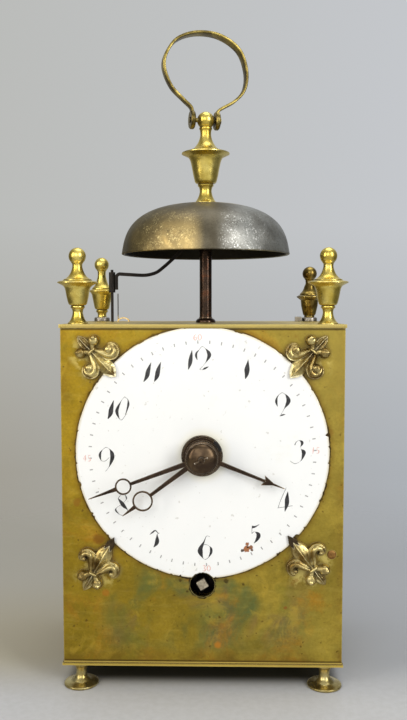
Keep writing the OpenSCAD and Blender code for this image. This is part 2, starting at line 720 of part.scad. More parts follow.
module bell_finial() {
    u = bell_finial_h / 45.5;
    color(brass) at_case() translate([bell_x, bell_y, bell_top_z]) difference() {
        rotate_extrude($fn = 64) union() {
            polygon([[0, 0], [5.5, 0], [5.5, 0.8 * u], [4.9, 1.3 * u], [4.1, 2.6 * u], [3.4, 4.2 * u],
                [3, 6 * u], [3.1, 7.4 * u], [3.4, 8.4 * u], [3.9, 8.8 * u], [4, 9.3 * u], [3.8, 9.7 * u],
                [3.5, 9.9 * u], [4.8, 10.2 * u], [5.4, 10.9 * u], [5.8, 12.4 * u], [6.3, 14.6 * u],
                [6.7, 16.8 * u], [7.2, 19.2 * u], [7.8, 21.6 * u], [8.8, 23.2 * u],
                [bell_flange_r - 1.1, 24.2 * u], [bell_flange_r, 24.7 * u], [bell_flange_r, 25.1 * u],
                [bell_flange_r - 1, 25.5 * u], [8.4, 25.9 * u], [8.2, 26.4 * u], [6.6, 27 * u],
                [5.2, 28.3 * u], [4, 30 * u], [3.2, 31.8 * u], [2.75, 33.6 * u], [2.7, 35.2 * u],
                [2.9, 36.4 * u], [3.2, 36.9 * u], [3.2, 37.5 * u], [2.9, 37.9 * u], [0, 37.9 * u]]);
            translate([0, bell_finial_h - ball_r]) intersection() {
                circle(r = ball_r, $fn = 64);
                translate([0, -6]) square(12);
            }
        }
        translate([0, 0, -eps]) cylinder(h = thread_len + 0.5, r = post_thread_r + slip, $fn = 48);
        translate([0, 0, bell_finial_h - ball_r]) rotate([0, 90, handle_turn])
            cylinder(h = 4 * ball_r, r = handle_pin_r + pin_gap, center = true, $fn = 48);
    }
}

// Handle: a strip bent to a loop, with a round ear on each side of the ball. Its pin lies along x in a frame
// that is turned about the bell's axis
module at_pin() { at_case() translate([bell_x, bell_y, pivot_z]) rotate(handle_turn) children(); }
ear_play = 1.3;
ear_right = ball_r + seat_gap + ear_t / 2;
ear_left = -(ball_r + seat_gap + ear_play + ear_t / 2);
ear_gap = 0.06;
ear_round = 0.4;
pin_head_t = 0.9;
pin_tail_t = 0.35;
pin_head_r = handle_pin_r + 0.4;
pin_right = ear_right + ear_t / 2 + 0.1;
pin_left = ear_left - ear_t / 2 - 0.1;

// Middle line of the strip from the left ear to the right ear
function handle_path() = spline([[ear_left, 2], [ear_left - 0.5, 5.8], [-0.533 * loop_r, 0.225 * loop_h],
    [-0.817 * loop_r, 0.367 * loop_h], [-0.981 * loop_r, 0.57 * loop_h], [-0.931 * loop_r, 0.735 * loop_h],
    [-0.683 * loop_r, 0.905 * loop_h], [-0.22 * loop_r, 0.993 * loop_h], [0.324 * loop_r, 0.975 * loop_h],
    [0.778 * loop_r, 0.832 * loop_h], [0.958 * loop_r, 0.6 * loop_h], [0.924 * loop_r, 0.386 * loop_h],
    [0.692 * loop_r, 0.242 * loop_h], [ear_right + 1, 5.2], [ear_right, 2]], 6);

// Half of the strip's outline seen from the side: it widens from the ears to the top of the loop
function strip_side() = [[strip_end_w / 2, 0], [strip_end_w / 2 + 0.3, 0.28 * loop_h],
    [strip_w / 2 - 0.3, 0.62 * loop_h], [strip_w / 2, loop_h + strip_t]];

module handle() {
    side = strip_side();
    color(brass) at_pin() difference() {
        union() {
            intersection() {
                translate([0, strip_w, 0]) rotate([90, 0, 0])
                    linear_extrude(2 * strip_w) polygon(band(handle_path(), strip_t));
                rotate([90, 0, 90]) linear_extrude(4 * loop_r, center = true)
                    polygon(concat(side, [for (i = [len(side) - 1:-1:0]) [-side[i][0], side[i][1]]]));
            }
            for (x = [ear_left, ear_right]) translate([x, 0, 0]) rotate([0, 90, 0]) {
                cylinder(h = ear_t - 2 * ear_round, r = ear_r, center = true, $fn = 64);
                cylinder(h = ear_t, r = ear_r - ear_round, center = true, $fn = 64);
            }
        }
        rotate([0, 90, 0]) cylinder(h = 30, r = handle_pin_r + ear_gap, center = true, $fn = 48);
    }
}

module handle_pin() {
    color(old_brass) at_pin() {
        rod_x(pin_left, pin_right, 0, 0, handle_pin_r);
        rod_x(pin_right, pin_right + pin_head_t, 0, 0, pin_head_r);
        rod_x(pin_left - pin_tail_t, pin_left, 0, 0, pin_head_r);
    }
}

// Hammer
sleeve_r = 1.7;
sleeve_h = 10.8;
sleeve_z = top_z + 15.6;
arm_w = 1.8;
verge_r = crown_r - 0.7;
verge_flag = 3.2;
arbor_low = crown_p[1] - crown_r - 9;
spring_r = 0.35;
spring_rise = 2.1;
spring_feet = [[hammer_x + 3.1, hammer_y], [hammer_x + 9.2, hammer_y - 2]];

module hammer_arbor() {
    color(dark_steel) at_case() translate([hammer_x, hammer_y, 0]) {
        translate([0, 0, arbor_low])
            cylinder(h = sleeve_z + sleeve_h + 1.3 - arbor_low, r = hammer_arbor_r, $fn = 32);
        for (s = [-1, 1]) translate([0, 0, crown_p[1] + s * verge_r]) rotate(s > 0 ? -6 : 210)
            translate([0, -0.4, -1.2]) cube([verge_flag, 0.8, 2.4]);
    }
}

// The arm rises from the sleeve, runs to the bell's rim and curls up inside, where it carries the head
module hammer_head() {
    low = sleeve_z + 1.5;
    high = sleeve_z + sleeve_h - 0.9;
    leg = sleeve_r + 0.6;
    bend = 1.9;
    path = concat([[leg, low]], arc([leg + bend, high - bend], bend, 180, 96, 6),
        spline([[leg + bend + 1, high - 0.1], [0.26 * arm_len, high - 0.5], [0.38 * arm_len, high - 0.6],
            [0.46 * arm_len, high + 0.1], [0.52 * arm_len, high + 1.2], [0.58 * arm_len, high + 3.3],
            [0.69 * arm_len, bell_rim_z - 0.7], [0.85 * arm_len, head_z - 3], [arm_len, head_z + 1.5]], 3));
    color(dark_steel) at_case() translate([hammer_x, hammer_y, 0]) rotate(arm_dir) difference() {
        union() {
            translate([0, 0, sleeve_z]) cylinder(h = sleeve_h, r = sleeve_r, $fn = 48);
            translate([0, arm_w / 2, 0]) rotate([90, 0, 0]) linear_extrude(arm_w) polygon(band(path, arm_w));
            translate([arm_len, 0, head_z]) cylinder(h = head_h, r = head_r, $fn = 48);
        }
        translate([0, 0, sleeve_z - 1]) cylinder(h = sleeve_h + 2, r = hammer_arbor_r + pin_gap, $fn = 32);
    }
}

// A light wire: it stands beside the arbor and arches over into the top plate
module hammer_spring() {
    run = norm(spring_feet[1] - spring_feet[0]);
    turn = bearing(spring_feet[0], spring_feet[1]);
    arch = spline([[0, -top_t], [0, 0.3 * spring_rise], [0.22 * run, 0.8 * spring_rise],
        [0.5 * run, spring_rise], [0.8 * run, 0.8 * spring_rise], [run, 0.25 * spring_rise],
        [run, -top_t]], 4);
    color(brass) at_case() translate([spring_feet[0][0], spring_feet[0][1], top_z]) {
        rotate(turn) translate([0, spring_r * 0.8, 0]) rotate([90, 0, 0])
            linear_extrude(spring_r * 1.6) polygon(band(arch, spring_r * 1.6));
        cylinder(h = sleeve_z - top_z - 0.6, r = spring_r * 0.8, $fn = 24);
    }
}

// Doors: a sheet with a pivot rod on one edge, which turns in the base and top plates
module door_rod() {
    translate([0, 0, floor_z + door_lift]) cylinder(h = door_h, r = rod_r, $fn = 32);
    translate([0, 0, floor_z - rod_pin_len]) cylinder(h = panel_h + 2 * rod_pin_len, r = rod_pin_r, $fn = 32);
}

module side_door(sx) {
    y1 = back_post_y - door_gap;
    knob_y = y1 - 8;
    color(brass) at_case() mirror([sx < 0 ? 1 : 0, 0, 0]) difference() {
        union() {
            translate([half_w - door_t, side_rod_y, floor_z + door_lift])
                cube([door_t, y1 - side_rod_y, door_h]);
            translate([side_rod_x, side_rod_y, 0]) door_rod();
        }
        rod_x(half_w - door_t - eps, half_w + eps, knob_y, knob_z, knob_rivet_r + slip);
    }
}

knob_z = (floor_z + ceil_z) / 2;
module knob() {
    rotate_extrude($fn = 48) polygon([[0, -door_t], [knob_rivet_r, -door_t], [knob_rivet_r, 0],
        [2.6, 0], [2.6, 0.5], [1.6, 0.9], [1.1, 1.6], [1.2, 2.3], [1.9, 2.7], [2.3, 3.3], [2.3, 4],
        [1.8, 4.7], [0.9, knob_len], [0, knob_len]]);
}

module side_knob(sx) {
    color(brass) at_case() mirror([sx < 0 ? 1 : 0, 0, 0])
        translate([half_w, back_post_y - door_gap - 8, knob_z]) rotate([0, 90, 0]) knob();
}

module left_door() { side_door(-1); }
module right_door() { side_door(1); }
module left_door_knob() { side_knob(-1); }
module right_door_knob() { side_knob(1); }

rear_knob_x = rear_rod_x - 8;
module rear_door() {
    x1 = post_in_x - door_gap;
    color(brass) at_case() difference() {
        union() {
            translate([-rear_rod_x, case_d - door_t, floor_z + door_lift])
                cube([x1 + rear_rod_x, door_t, door_h]);
            translate([-rear_rod_x, rear_rod_y, 0]) door_rod();
        }
        rod_y([rear_knob_x, knob_z], case_d - door_t - eps, case_d + eps, knob_rivet_r + slip);
    }
}

module rear_door_knob() {
    color(brass) at_case() translate([rear_knob_x, case_d, knob_z]) rotate([-90, 0, 0]) knob();
}

// Movement frame
pillar_tail_r = 1.5;
function pillar_places() = [for (x = pillar_xs, z = pillar_zs) [x, z]];

module movement_plate(y) {
    translate([-plate_left, y, plate_low]) cube([plate_left + plate_right, plate_t, plate_high - plate_low]);
}

module pivot_hole(p, y, r) { rod_y(p, y - eps, y + plate_t + eps, r); }

click_p = barrel_p + [ratchet_r + 5.5, -6];
click_stud_r = 1.2;
spring_block = barrel_p + [ratchet_r + 11, 9.5];
minute_stud_r = 1;

module movement_front_plate() {
    color(old_brass) at_case() {
        difference() {
            movement_plate(mf_y);
            for (p = pillar_places()) pivot_hole(p, mf_y, pillar_tail_r + slip);
            pivot_hole(barrel_p, mf_y, wind_r + run_gap);
            pivot_hole(centre_p, mf_y, arbor_r + run_gap);
            for (p = [inter_p, third_p, escape_p, anchor_p, crown_p]) pivot_hole(p, mf_y, pivot_r + run_gap);
            pivot_hole(alarm_p, mf_y, pivot_r * 2 + run_gap);
        }
        rod_y(click_p, ratchet_y - 0.2, mf_y + eps, click_stud_r);
        rod_y(minute_p, panel_t + 2.2, mf_y + eps, minute_stud_r);
    }
}

// The back plate carries two arms that hold the hammer arbor below and above the crown wheel
module movement_back_plate() {
    color(old_brass) at_case() difference() {
        union() {
            movement_plate(mb_y);
            for (z = [arbor_low - 0.3, crown_p[1] + crown_r + 5])
                translate([hammer_x - 2.5, mb_y + plate_t - eps, z])
                    cube([5, hammer_y + 2.5 - mb_y - plate_t, 2.6]);
        }
        for (p = pillar_places()) pivot_hole(p, mb_y, pillar_tail_r + slip);
        pivot_hole(barrel_p, mb_y, wind_tail_r + run_gap);
        for (p = [centre_p, inter_p, third_p, escape_p]) pivot_hole(p, mb_y, pivot_r + run_gap);
        pivot_hole(anchor_p, mb_y, 3);
        pivot_hole(crown_p, mb_y, train_arbor_r + run_gap);
        pivot_hole(alarm_p, mb_y, alarm_square * 0.75 + run_gap);
        translate([hammer_x, hammer_y, arbor_low])
            cylinder(h = plate_high - arbor_low, r = hammer_arbor_r + run_gap, $fn = 32);
    }
}

module movement_pillars() {
    color(brass) at_case() for (p = pillar_places()) {
        rod_y(p, panel_t - 0.7, mb_y + plate_t + 2, pillar_tail_r);
        rod_y(p, panel_t, mf_y, pillar_r);
        rod_y(p, inner_y, mb_y, pillar_r);
    }
}

// Going barrel, winding arbor and ratchet
wind_r = 2.4;
wind_tail_r = 1.6;
core_r = 4.5;
drum_wall = 1.4;
spring_t = 0.5;

module barrel() {
    color(brass) at_case() difference() {
        union() {
            toothed_wheel(barrel_p, great_y, great_t, great_n, great_m, 0, wind_r + run_gap, 1, 0, 3);
            rod_y(barrel_p, drum_y - eps, drum_y + drum_len, drum_r);
        }
        rod_y(barrel_p, drum_y, drum_y + drum_len + eps, drum_r - drum_wall);
        rod_y(barrel_p, great_y - 1, drum_y + 1, wind_r + run_gap);
    }
}

module barrel_cap() {
    color(brass) at_case() difference() {
        rod_y(barrel_p, drum_y + drum_len - cap_t, drum_y + drum_len, drum_r - drum_wall - slip);
        rod_y(barrel_p, drum_y + drum_len - 2 * cap_t, drum_y + drum_len + 1, wind_r + run_gap);
    }
}

module mainspring() {
    turns = 7;
    r0 = core_r + 0.8;
    r1 = drum_r - drum_wall - 0.6;
    path = [for (i = [0:16 * turns])
        let (a = 22.5 * i, r = r0 + (r1 - r0) * i / (16 * turns)) r * [cos(a), sin(a)]];
    color(steel) at_case() facing(barrel_p, drum_y + drum_len - cap_t - 0.6)
        linear_extrude(drum_len - cap_t - 1.2) polygon(band(path, spring_t));
}

module winding_arbor() {
    color(steel) at_case() {
        facing(barrel_p, ratchet_y - 0.4) rotate(wind_turn) translate([-wind_square / 2, -wind_square / 2, 0])
            cube([wind_square, wind_square, ratchet_y - 0.4 - 0.4]);
        rod_y(barrel_p, ratchet_y - 0.4 - eps, drum_y + drum_len + 0.8, wind_r);
        rod_y(barrel_p, drum_y + 0.5, drum_y + drum_len - cap_t - 0.5, core_r);
        rod_y(barrel_p, drum_y, mb_y + plate_t - 0.2, wind_tail_r);
    }
}

module ratchet_wheel() {
    teeth = [for (i = [0:ratchet_n - 1], k = [0, 1])
        let (a = 360 * (i + 0.06 * k) / ratchet_n, r = k == 0 ? ratchet_r - 1.4 : ratchet_r)
        r * [cos(-a), sin(-a)]];
    color(steel) at_case() facing(barrel_p, ratchet_y + ratchet_t) linear_extrude(ratchet_t) difference() {
        polygon(teeth);
        circle(r = wind_r + pin_gap, $fn = 48);
    }
}

// The click's nose points at the ratchet's rim and rides just clear of the teeth
click_nose = barrel_p + (ratchet_r + 0.9) * [cos(28), sin(28)];
module click() {
    v = click_nose - click_p;
    color(steel) at_case() facing(click_p, ratchet_y + ratchet_t) difference() {
        union() {
            cylinder(h = ratchet_t, r = 2.4, $fn = 48);
            linear_extrude(ratchet_t - 0.3) polygon([[-1.9, 0], v + [-0.35, 0.5], v + [0.7, 0.9], [1.9, 0]]);
        }
        translate([0, 0, -1]) cylinder(h = ratchet_t + 2, r = click_stud_r + run_gap, $fn = 32);
    }
}

module click_spring() {
    tip = click_nose + [1.5, -1.4];
    v = tip - spring_block;
    color(brass) at_case() facing(spring_block, mf_y) {
        translate([-1.5, -1.5, 0]) cube([3, 3, mf_y - ratchet_y]);
        translate([0, 0, mf_y - ratchet_y - ratchet_t])
            linear_extrude(ratchet_t - 0.4)
                polygon(band(spline([[0, 1], [-2.5, 2.8], [v[0] + 1.4, 2.4], v + [0.6, 1]], 4), 0.4));
    }
}

// Going train
inter_turn = mesh_turn(bearing(barrel_p, inter_p), 0, great_n, inter_pn);
centre_turn = mesh_turn(bearing(inter_p, centre_p), inter_turn, inter_n, centre_pn);
third_turn = mesh_turn(bearing(centre_p, third_p), centre_turn, centre_n, third_pn);
escape_turn = mesh_turn(bearing(third_p, escape_p), third_turn, third_n, escape_pn);

module intermediate_wheel() {
    color(brass) at_case() {
        toothed_wheel(inter_p, inter_y, wheel_t, inter_n, inter_m, inter_turn, 0, 3.4, 5, 2.4);
        pinion(inter_p, great_y - 0.6, great_t + 1.2, inter_pn, great_m, inter_turn);
        train_arbor(inter_p);
        rod_y(inter_p, inter_y, inter_y + wheel_t, 1.4);
    }
}

// The centre wheel's arbor runs forward through the hands to the cross pin
module centre_wheel() {
    color(old_brass) at_case() difference() {
        union() {
            toothed_wheel(centre_p, centre_wheel_y, wheel_t, centre_n, centre_m, centre_turn, 0, 3, 5, 2);
            pinion(centre_p, inter_y - 0.6, wheel_t + 1.2, centre_pn, inter_m, centre_turn);
            rod_y(centre_p, -arbor_front, inter_y, arbor_r);
            rod_y(centre_p, inter_y, mb_y + plate_t - 0.3, pivot_r);
            rod_y(centre_p, centre_wheel_y, centre_wheel_y + wheel_t, 1.6);
        }
        cross_pin(-3, 3, hand_pin_r + pin_gap);
    }
}

module third_wheel() {
    color(brass) at_case() {
        toothed_wheel(third_p, third_wheel_y, wheel_t - 0.2, third_n, third_m, third_turn, 0, 2.4, 4, 1.8);
        pinion(third_p, centre_wheel_y - 0.6, wheel_t + 1.2, third_pn, centre_m, third_turn);
        train_arbor(third_p);
        rod_y(third_p, third_wheel_y, third_wheel_y + wheel_t, 1.2);
    }
}

module escape_wheel() {
    t = 1;
    teeth = [for (i = [0:escape_n - 1], k = [0:2])
        let (a = 360 * (i + [0, 0.35, 0.55][k]) / escape_n, r = [escape_r - 1.6, escape_r, escape_r - 1.6][k])
        r * [cos(-a), sin(-a)]];
    color(brass) at_case() {
        facing(escape_p, escape_y + t) linear_extrude(t) difference() {
            polygon(teeth);
            difference() {
                circle(r = escape_r - 3, $fn = 96);
                circle(r = 2, $fn = 48);
                for (i = [0:3]) rotate(90 * i) translate([0, -0.6]) square([escape_r - 2, 1.2]);
            }
        }
        pinion(escape_p, third_wheel_y - 0.6, wheel_t + 1, escape_pn, third_m, escape_turn);
        train_arbor(escape_p);
        rod_y(escape_p, escape_y, escape_y + t, 1.1);
    }
}

// Anchor, crutch and pendulum
cock_y = mb_y + plate_t + 4;
cock_t = 2;
hang_y = cock_y + cock_t + 1.5;
fork_drop = 36;
fork_z = pallet_z - fork_drop * rise;
cock_w = 26;
cock_h = 9;
cock_foot_w = 5;
rod_w = 0.9;
eye_gap = 0.06;
fork_gap = 0.12;

module anchor() {
    pallet_r = escape_r + 0.95;
    depth = pallet_z - escape_p[1];
    spread = 42;
    color(steel) at_case() {
        facing(anchor_p, escape_y + 1.6) linear_extrude(1.6) union() {
            circle(r = 2.2, $fn = 48);
            for (s = [-1, 1]) polygon(band(spline([[0, 0.4], [s * 5, -0.8],
                [s * (pallet_r + 2.4) * sin(spread), pallet_r * cos(spread) - depth + 4],
                [s * pallet_r * sin(spread) * 1.01, pallet_r * cos(spread) - depth + 0.7]], 4), 1.5));
        }
        rod_y(anchor_p, inner_y + 0.2, cock_y - 0.3, train_arbor_r);
        rod_y(anchor_p, mf_y + 0.3, cock_y + cock_t - 0.4, pivot_r);
        facing([0, (fork_z + pallet_z) / 2], mb_y + plate_t + 2.4) linear_extrude(1)
            square([2, pallet_z - fork_z + 3], center = true);
        facing([0, fork_z - 1], mb_y + plate_t + 2.4) linear_extrude(1)
            square([2 * (rod_w + fork_gap) + 1.6, 2], center = true);
        for (s = [-1, 1]) facing([s * (rod_w + fork_gap + 0.4), fork_z - 1], hang_y + 2)
            linear_extrude(hang_y + 2 - mb_y - plate_t - 1.4) square([0.8, 2], center = true);
    }
}

module pendulum_cock() {
    color(brass) at_case() {
        difference() {
            union() {
                facing([0, pallet_z + 1], cock_y + cock_t) linear_extrude(cock_t)
                    square([cock_w, cock_h], center = true);
                for (s = [-1, 1]) facing([s * (cock_w - cock_foot_w) / 2, pallet_z + 1], cock_y + eps)
                    linear_extrude(cock_y - mb_y - plate_t + eps)
                        square([cock_foot_w, cock_h], center = true);
            }
            rod_y(anchor_p, cock_y - 1, cock_y + cock_t - 0.3, pivot_r + run_gap);
        }
        rod_y(anchor_p, cock_y + cock_t - eps, hang_y + 2.4, 1);
        rod_y(anchor_p, hang_y + 1.6, hang_y + 2.4, 1.9);
    }
}

module pendulum_rod() {
    low = pallet_z - swing_len - bob_r - 5;
    color(steel) at_case() difference() {
        union() {
            rod_y(anchor_p, hang_y - 0.9, hang_y + 0.9, 2.4);
            translate([0, hang_y, low]) cylinder(h = pallet_z - low - 1.7, r = rod_w, $fn = 32);
            translate([0, hang_y, low + 1]) cylinder(h = 2.2, r = 2.4, $fn = 48);
        }
        rod_y(anchor_p, hang_y - 2, hang_y + 2, 1 + eye_gap);
    }
}

module pendulum_bob() {
    color(brass) at_case() difference() {
        facing([0, pallet_z - swing_len], hang_y) rotate_extrude($fn = 96)
            polygon([[0, -3.4], [bob_r * 0.45, -3], [bob_r * 0.8, -1.8], [bob_r, -0.4], [bob_r, 0.4],
                [bob_r * 0.8, 1.8], [bob_r * 0.45, 3], [0, 3.4]]);
        translate([0, hang_y, pallet_z - swing_len - bob_r - 1])
            cylinder(h = 2 * bob_r + 2, r = rod_w + pin_gap, $fn = 32);
    }
}

// Motion work and hands
cannon_y = mf_y - 4.4;
minute_wheel_y = mf_y - 4;
hour_wheel_y = panel_t + 3.2;
minute_turn = mesh_turn(motion_a, 0, cannon_n, minute_n);
hour_turn = mesh_turn(motion_a + 180, minute_turn, minute_pn, hour_n);

module cannon_pinion() {
    color(steel) at_case() difference() {
        union() {
            pinion(centre_p, cannon_y, 3.6, cannon_n, motion_m, 0);
            rod_y(centre_p, -(minute_back + minute_boss_t), cannon_y + eps, pipe1_r);
        }
        rod_y(centre_p, -arbor_front, mf_y, arbor_r + run_gap);
    }
}

module minute_wheel() {
    color(brass) at_case() difference() {
        union() {
            toothed_wheel(minute_p, minute_wheel_y, 1.2, minute_n, motion_m, minute_turn, 0.5, 1, 0, 1);
            pinion(minute_p, hour_wheel_y - 0.7, minute_wheel_y - hour_wheel_y + 0.7 + eps,
                minute_pn, hour_m, minute_turn);
        }
        rod_y(minute_p, 0, mf_y, minute_stud_r + run_gap);
    }
}

module hour_wheel() {
    color(brass) at_case() difference() {
        union() {
            toothed_wheel(centre_p, hour_wheel_y, wheel_t, hour_n, hour_m, hour_turn, 0.5, 1, 0, 1);
            rod_y(centre_p, -(hour_back + hour_boss_t), hour_wheel_y + eps, pipe2_r);
        }
        rod_y(centre_p, -arbor_front, mf_y, pipe1_r + run_gap);
    }
}

// A moon hand pointing up: a tapering blade, an open ring, and a pointed tip
module moon_hand(len, ring_at, ring_r, line) {
    difference() {
        union() {
            polygon([[-1.2, 5], [1.2, 5], [0.65, ring_at], [-0.65, ring_at]]);
            polygon([[-0.95, ring_at + ring_r - 0.4], [0.95, ring_at + ring_r - 0.4],
                [0.15, len], [-0.15, len]]);
            translate([0, ring_at]) circle(r = ring_r, $fn = 64);
        }
        translate([0, ring_at]) circle(r = ring_r - line, $fn = 64);
    }
}

// A hand's boss with its bore, and the blade at the boss's middle, turned to its direction
module hand(back, boss_t, boss_r, bore, dir) {
    difference() {
        union() {
            facing(centre_p, -back) cylinder(h = boss_t, r = boss_r, $fn = 64);
            facing(centre_p, -(back + (boss_t - hand_t) / 2)) rotate(-dir) linear_extrude(hand_t) children();
        }
        rod_y(centre_p, -(back + boss_t + 1), -(back - 1), bore);
    }
}

module minute_hand() {
    color(dark_steel) at_case() hand(minute_back, minute_boss_t, 6.8, pipe1_r + pin_gap, minute_dir)
        moon_hand(minute_len, minute_len - 16.7, 3.75, 0.75);
}

module hour_hand() {
    color(dark_steel) at_case() hand(hour_back, hour_boss_t, 7.8, pipe2_r + pin_gap, hour_dir)
        moon_hand(hour_len, hour_len - 11.4, 4.65, 0.75);
}

module alarm_disc() {
    color(dark_steel) at_case() difference() {
        union() {
            facing(centre_p, -disc_back) cylinder(h = disc_t, r = alarm_disc_r, $fn = 96);
            rod_y(centre_p, -disc_back - eps, panel_t + 1.2, pipe3_r);
        }
        rod_y(centre_p, -(disc_back + 3), panel_t + 3, pipe2_r + run_gap);
        facing(centre_p, -disc_back + 1) rotate(47) translate([alarm_disc_r - 2.4, -0.9, 0])
            cube([4, 1.8, 4]);
    }
}

module alarm_hand() {
    arrow = alarm_len - 10.4;
    color(dark_steel) at_case() hand(alarm_hand_f, hand_t, 8.6, pipe2_r + run_gap, alarm_dir) union() {
        polygon([[-1.15, 5], [1.15, 5], [0.55, arrow + 1], [-0.55, arrow + 1]]);
        polygon([[0, arrow + 1.2], [2.4, arrow - 0.2], [0.5, alarm_len - 5.5], [0.12, alarm_len],
            [-0.12, alarm_len], [-0.5, alarm_len - 5.5], [-2.4, arrow - 0.2]]);
    }
}

module hand_collet() {
    color(dark_steel) at_case() difference() {
        facing(centre_p, -collet_back) rotate_extrude($fn = 96) polygon([[0, 0], [collet_r - 0.3, 0],
            [collet_r, 0.3], [collet_r, 0.9], [collet_r * 0.95, 1.5], [collet_r * 0.84, 2.3], [collet_r * 0.66, 3.1],
            [collet_r * 0.42, 3.7], [2, collet_t], [0, collet_t]]);
        rod_y(centre_p, -arbor_front - 1, 0, arbor_r + pin_gap);
    }
}

// Rod across the centre arbor in front of the collet, from x0 to x1 before it is turned
module cross_pin(x0, x1, r) {
    translate([0, -pin_front, hands_z]) rotate([0, -hand_pin_turn, 0]) rod_x(x0, x1, 0, 0, r);
}

module hand_pin() {
    color(steel) at_case() cross_pin(-3.4, 3, hand_pin_r);
}

// Alarm work
alarm_square = 2.6;
alarm_y = inner_y + 1.8;
module alarm_barrel() {
    color(brass) at_case() {
        toothed_wheel(alarm_p, alarm_y, 1.6, alarm_n, alarm_m, 0, 0, 1, 0, 2);
        rod_y(alarm_p, alarm_y, alarm_y + 16, 12.5);
        rod_y(alarm_p, mf_y + 0.3, inner_y + 2, pivot_r * 2);
        rod_y(alarm_p, alarm_y + 15, mb_y + plate_t, alarm_square * 0.75);
        facing(alarm_p, mb_y + plate_t + 7) translate([-alarm_square / 2, -alarm_square / 2, 0])
            cube([alarm_square, alarm_square, 7 + eps]);
    }
}

module alarm_crown_wheel() {
    turn = mesh_turn(bearing(alarm_p, crown_p), 0, alarm_n, crown_pn);
    back = crown_tip_y - 3.2;
    color(brass) at_case() {
        pinion(crown_p, alarm_y - 0.5, 2.6, crown_pn, alarm_m, turn);
        rod_y(crown_p, inner_y + 0.2, back, train_arbor_r);
        rod_y(crown_p, mf_y + 0.3, inner_y + 1, pivot_r);
        rod_y(crown_p, back - 4, back - 2.8, crown_r);
        difference() {
            rod_y(crown_p, back - 4, back, crown_r);
            rod_y(crown_p, back - 2.8, back + 1, crown_r - 0.8);
        }
        for (i = [0:crown_n - 1])
            facing(crown_p, back) rotate(360 * i / crown_n) translate([0, crown_r - 0.1, 0])
                rotate([90, 0, 0]) linear_extrude(0.6)
                    polygon([[-0.9, 0.1], [0.9, 0.1], [0.9, back - crown_tip_y]]);
    }
}

base_plate();
top_plate();
front_plate();
corner_posts();
feet();
finial_front_left();
finial_front_right();
finial_back_left();
finial_back_right();
finial_collars();
top_lug();
dial();
fleur_top_left();
fleur_top_right();
fleur_bottom_left();
fleur_bottom_right();
bell_post();
bell_post_nut();
bell();
bell_finial();
handle_pin();
handle();
hammer_arbor();
hammer_head();
hammer_spring();
left_door();
left_door_knob();
right_door();
right_door_knob();
rear_door();
rear_door_knob();
movement_front_plate();
movement_back_plate();
movement_pillars();
barrel();
barrel_cap();
mainspring();
winding_arbor();
ratchet_wheel();
click();
click_spring();
intermediate_wheel();
centre_wheel();
third_wheel();
escape_wheel();
anchor();
pendulum_cock();
pendulum_rod();
pendulum_bob();
cannon_pinion();
minute_wheel();
hour_wheel();
minute_hand();
hour_hand();
alarm_disc();
alarm_hand();
hand_collet();
hand_pin();
alarm_barrel();
alarm_crown_wheel();
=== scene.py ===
"""Looks of the travelling alarm clock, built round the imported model. The helpers take millimetres."""
import json
import math
import bpy
import bmesh
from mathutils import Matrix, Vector, noise


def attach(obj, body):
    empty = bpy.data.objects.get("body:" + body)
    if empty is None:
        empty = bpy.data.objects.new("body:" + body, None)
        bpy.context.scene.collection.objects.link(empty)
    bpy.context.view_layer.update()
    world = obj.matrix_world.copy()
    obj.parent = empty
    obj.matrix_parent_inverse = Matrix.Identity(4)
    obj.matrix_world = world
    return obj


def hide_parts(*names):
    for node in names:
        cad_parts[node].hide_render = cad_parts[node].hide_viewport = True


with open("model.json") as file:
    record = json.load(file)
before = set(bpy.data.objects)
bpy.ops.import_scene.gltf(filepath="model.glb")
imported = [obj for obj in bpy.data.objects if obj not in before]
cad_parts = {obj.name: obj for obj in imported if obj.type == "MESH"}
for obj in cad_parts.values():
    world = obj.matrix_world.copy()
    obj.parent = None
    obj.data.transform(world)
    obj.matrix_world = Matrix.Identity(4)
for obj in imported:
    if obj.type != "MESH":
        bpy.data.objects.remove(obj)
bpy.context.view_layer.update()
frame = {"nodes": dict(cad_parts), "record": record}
nodes = frame["nodes"]
scene = bpy.context.scene
scene.view_settings.view_transform = "Standard"

MM = 0.001
FRONT_Y = -35.9            # the front plate's face
CENTRE_Z = 111.2           # the hands' axis
FLOOR_Z = 12.1             # the case's floor
CEIL_Z = 168.9             # underside of the top plate
TOP_Z = 170.5              # upper side of the top plate
HALF_W = 65
CASE_D = 84.7
CORNER = (57.5, 4.3)       # a corner finial's axis: to the side of the middle, and behind the front plate
BELL = (0.8, 42.3 + FRONT_Y)
BELL_RIM_Z = 204.5
BELL_R, BELL_H, BELL_WALL = 42.2, 25.5, 1.5
PIVOT_Z = 271.2
DIAL_R, DIAL_EDGE, DIAL_DOME = 58.4, 1.3, 3.3
WIND_Z = 49.5
SIDES = (("left", -1), ("right", 1))

# Camera
FOCAL_PX, IMAGE_H, SENSOR = 796.6, 720, 36
YAW, PITCH = -0.020, -0.067
EYE = Vector((7.79, -398.27, 178.61))
camera_data = bpy.data.cameras.new("camera")
camera_data.sensor_width = SENSOR
camera_data.lens = FOCAL_PX * SENSOR / IMAGE_H
camera_data.clip_start = 0.02
camera_data.clip_end = 40
camera = bpy.data.objects.new("camera", camera_data)
scene.collection.objects.link(camera)
camera.location = EYE * MM
look = Vector((math.sin(YAW) * math.cos(PITCH), math.cos(YAW) * math.cos(PITCH), math.sin(PITCH)))
camera.rotation_euler = look.to_track_quat("-Z", "Y").to_euler()
scene.camera = camera


# Materials
def srgb(r, g, b):
    """Colour of 0 to 255 values as the linear colour that a shader wants."""
    lin = [(c / 255 / 12.92) if c <= 10 else ((c / 255 + 0.055) / 1.055) ** 2.4 for c in (r, g, b)]
    return (*lin, 1.0)


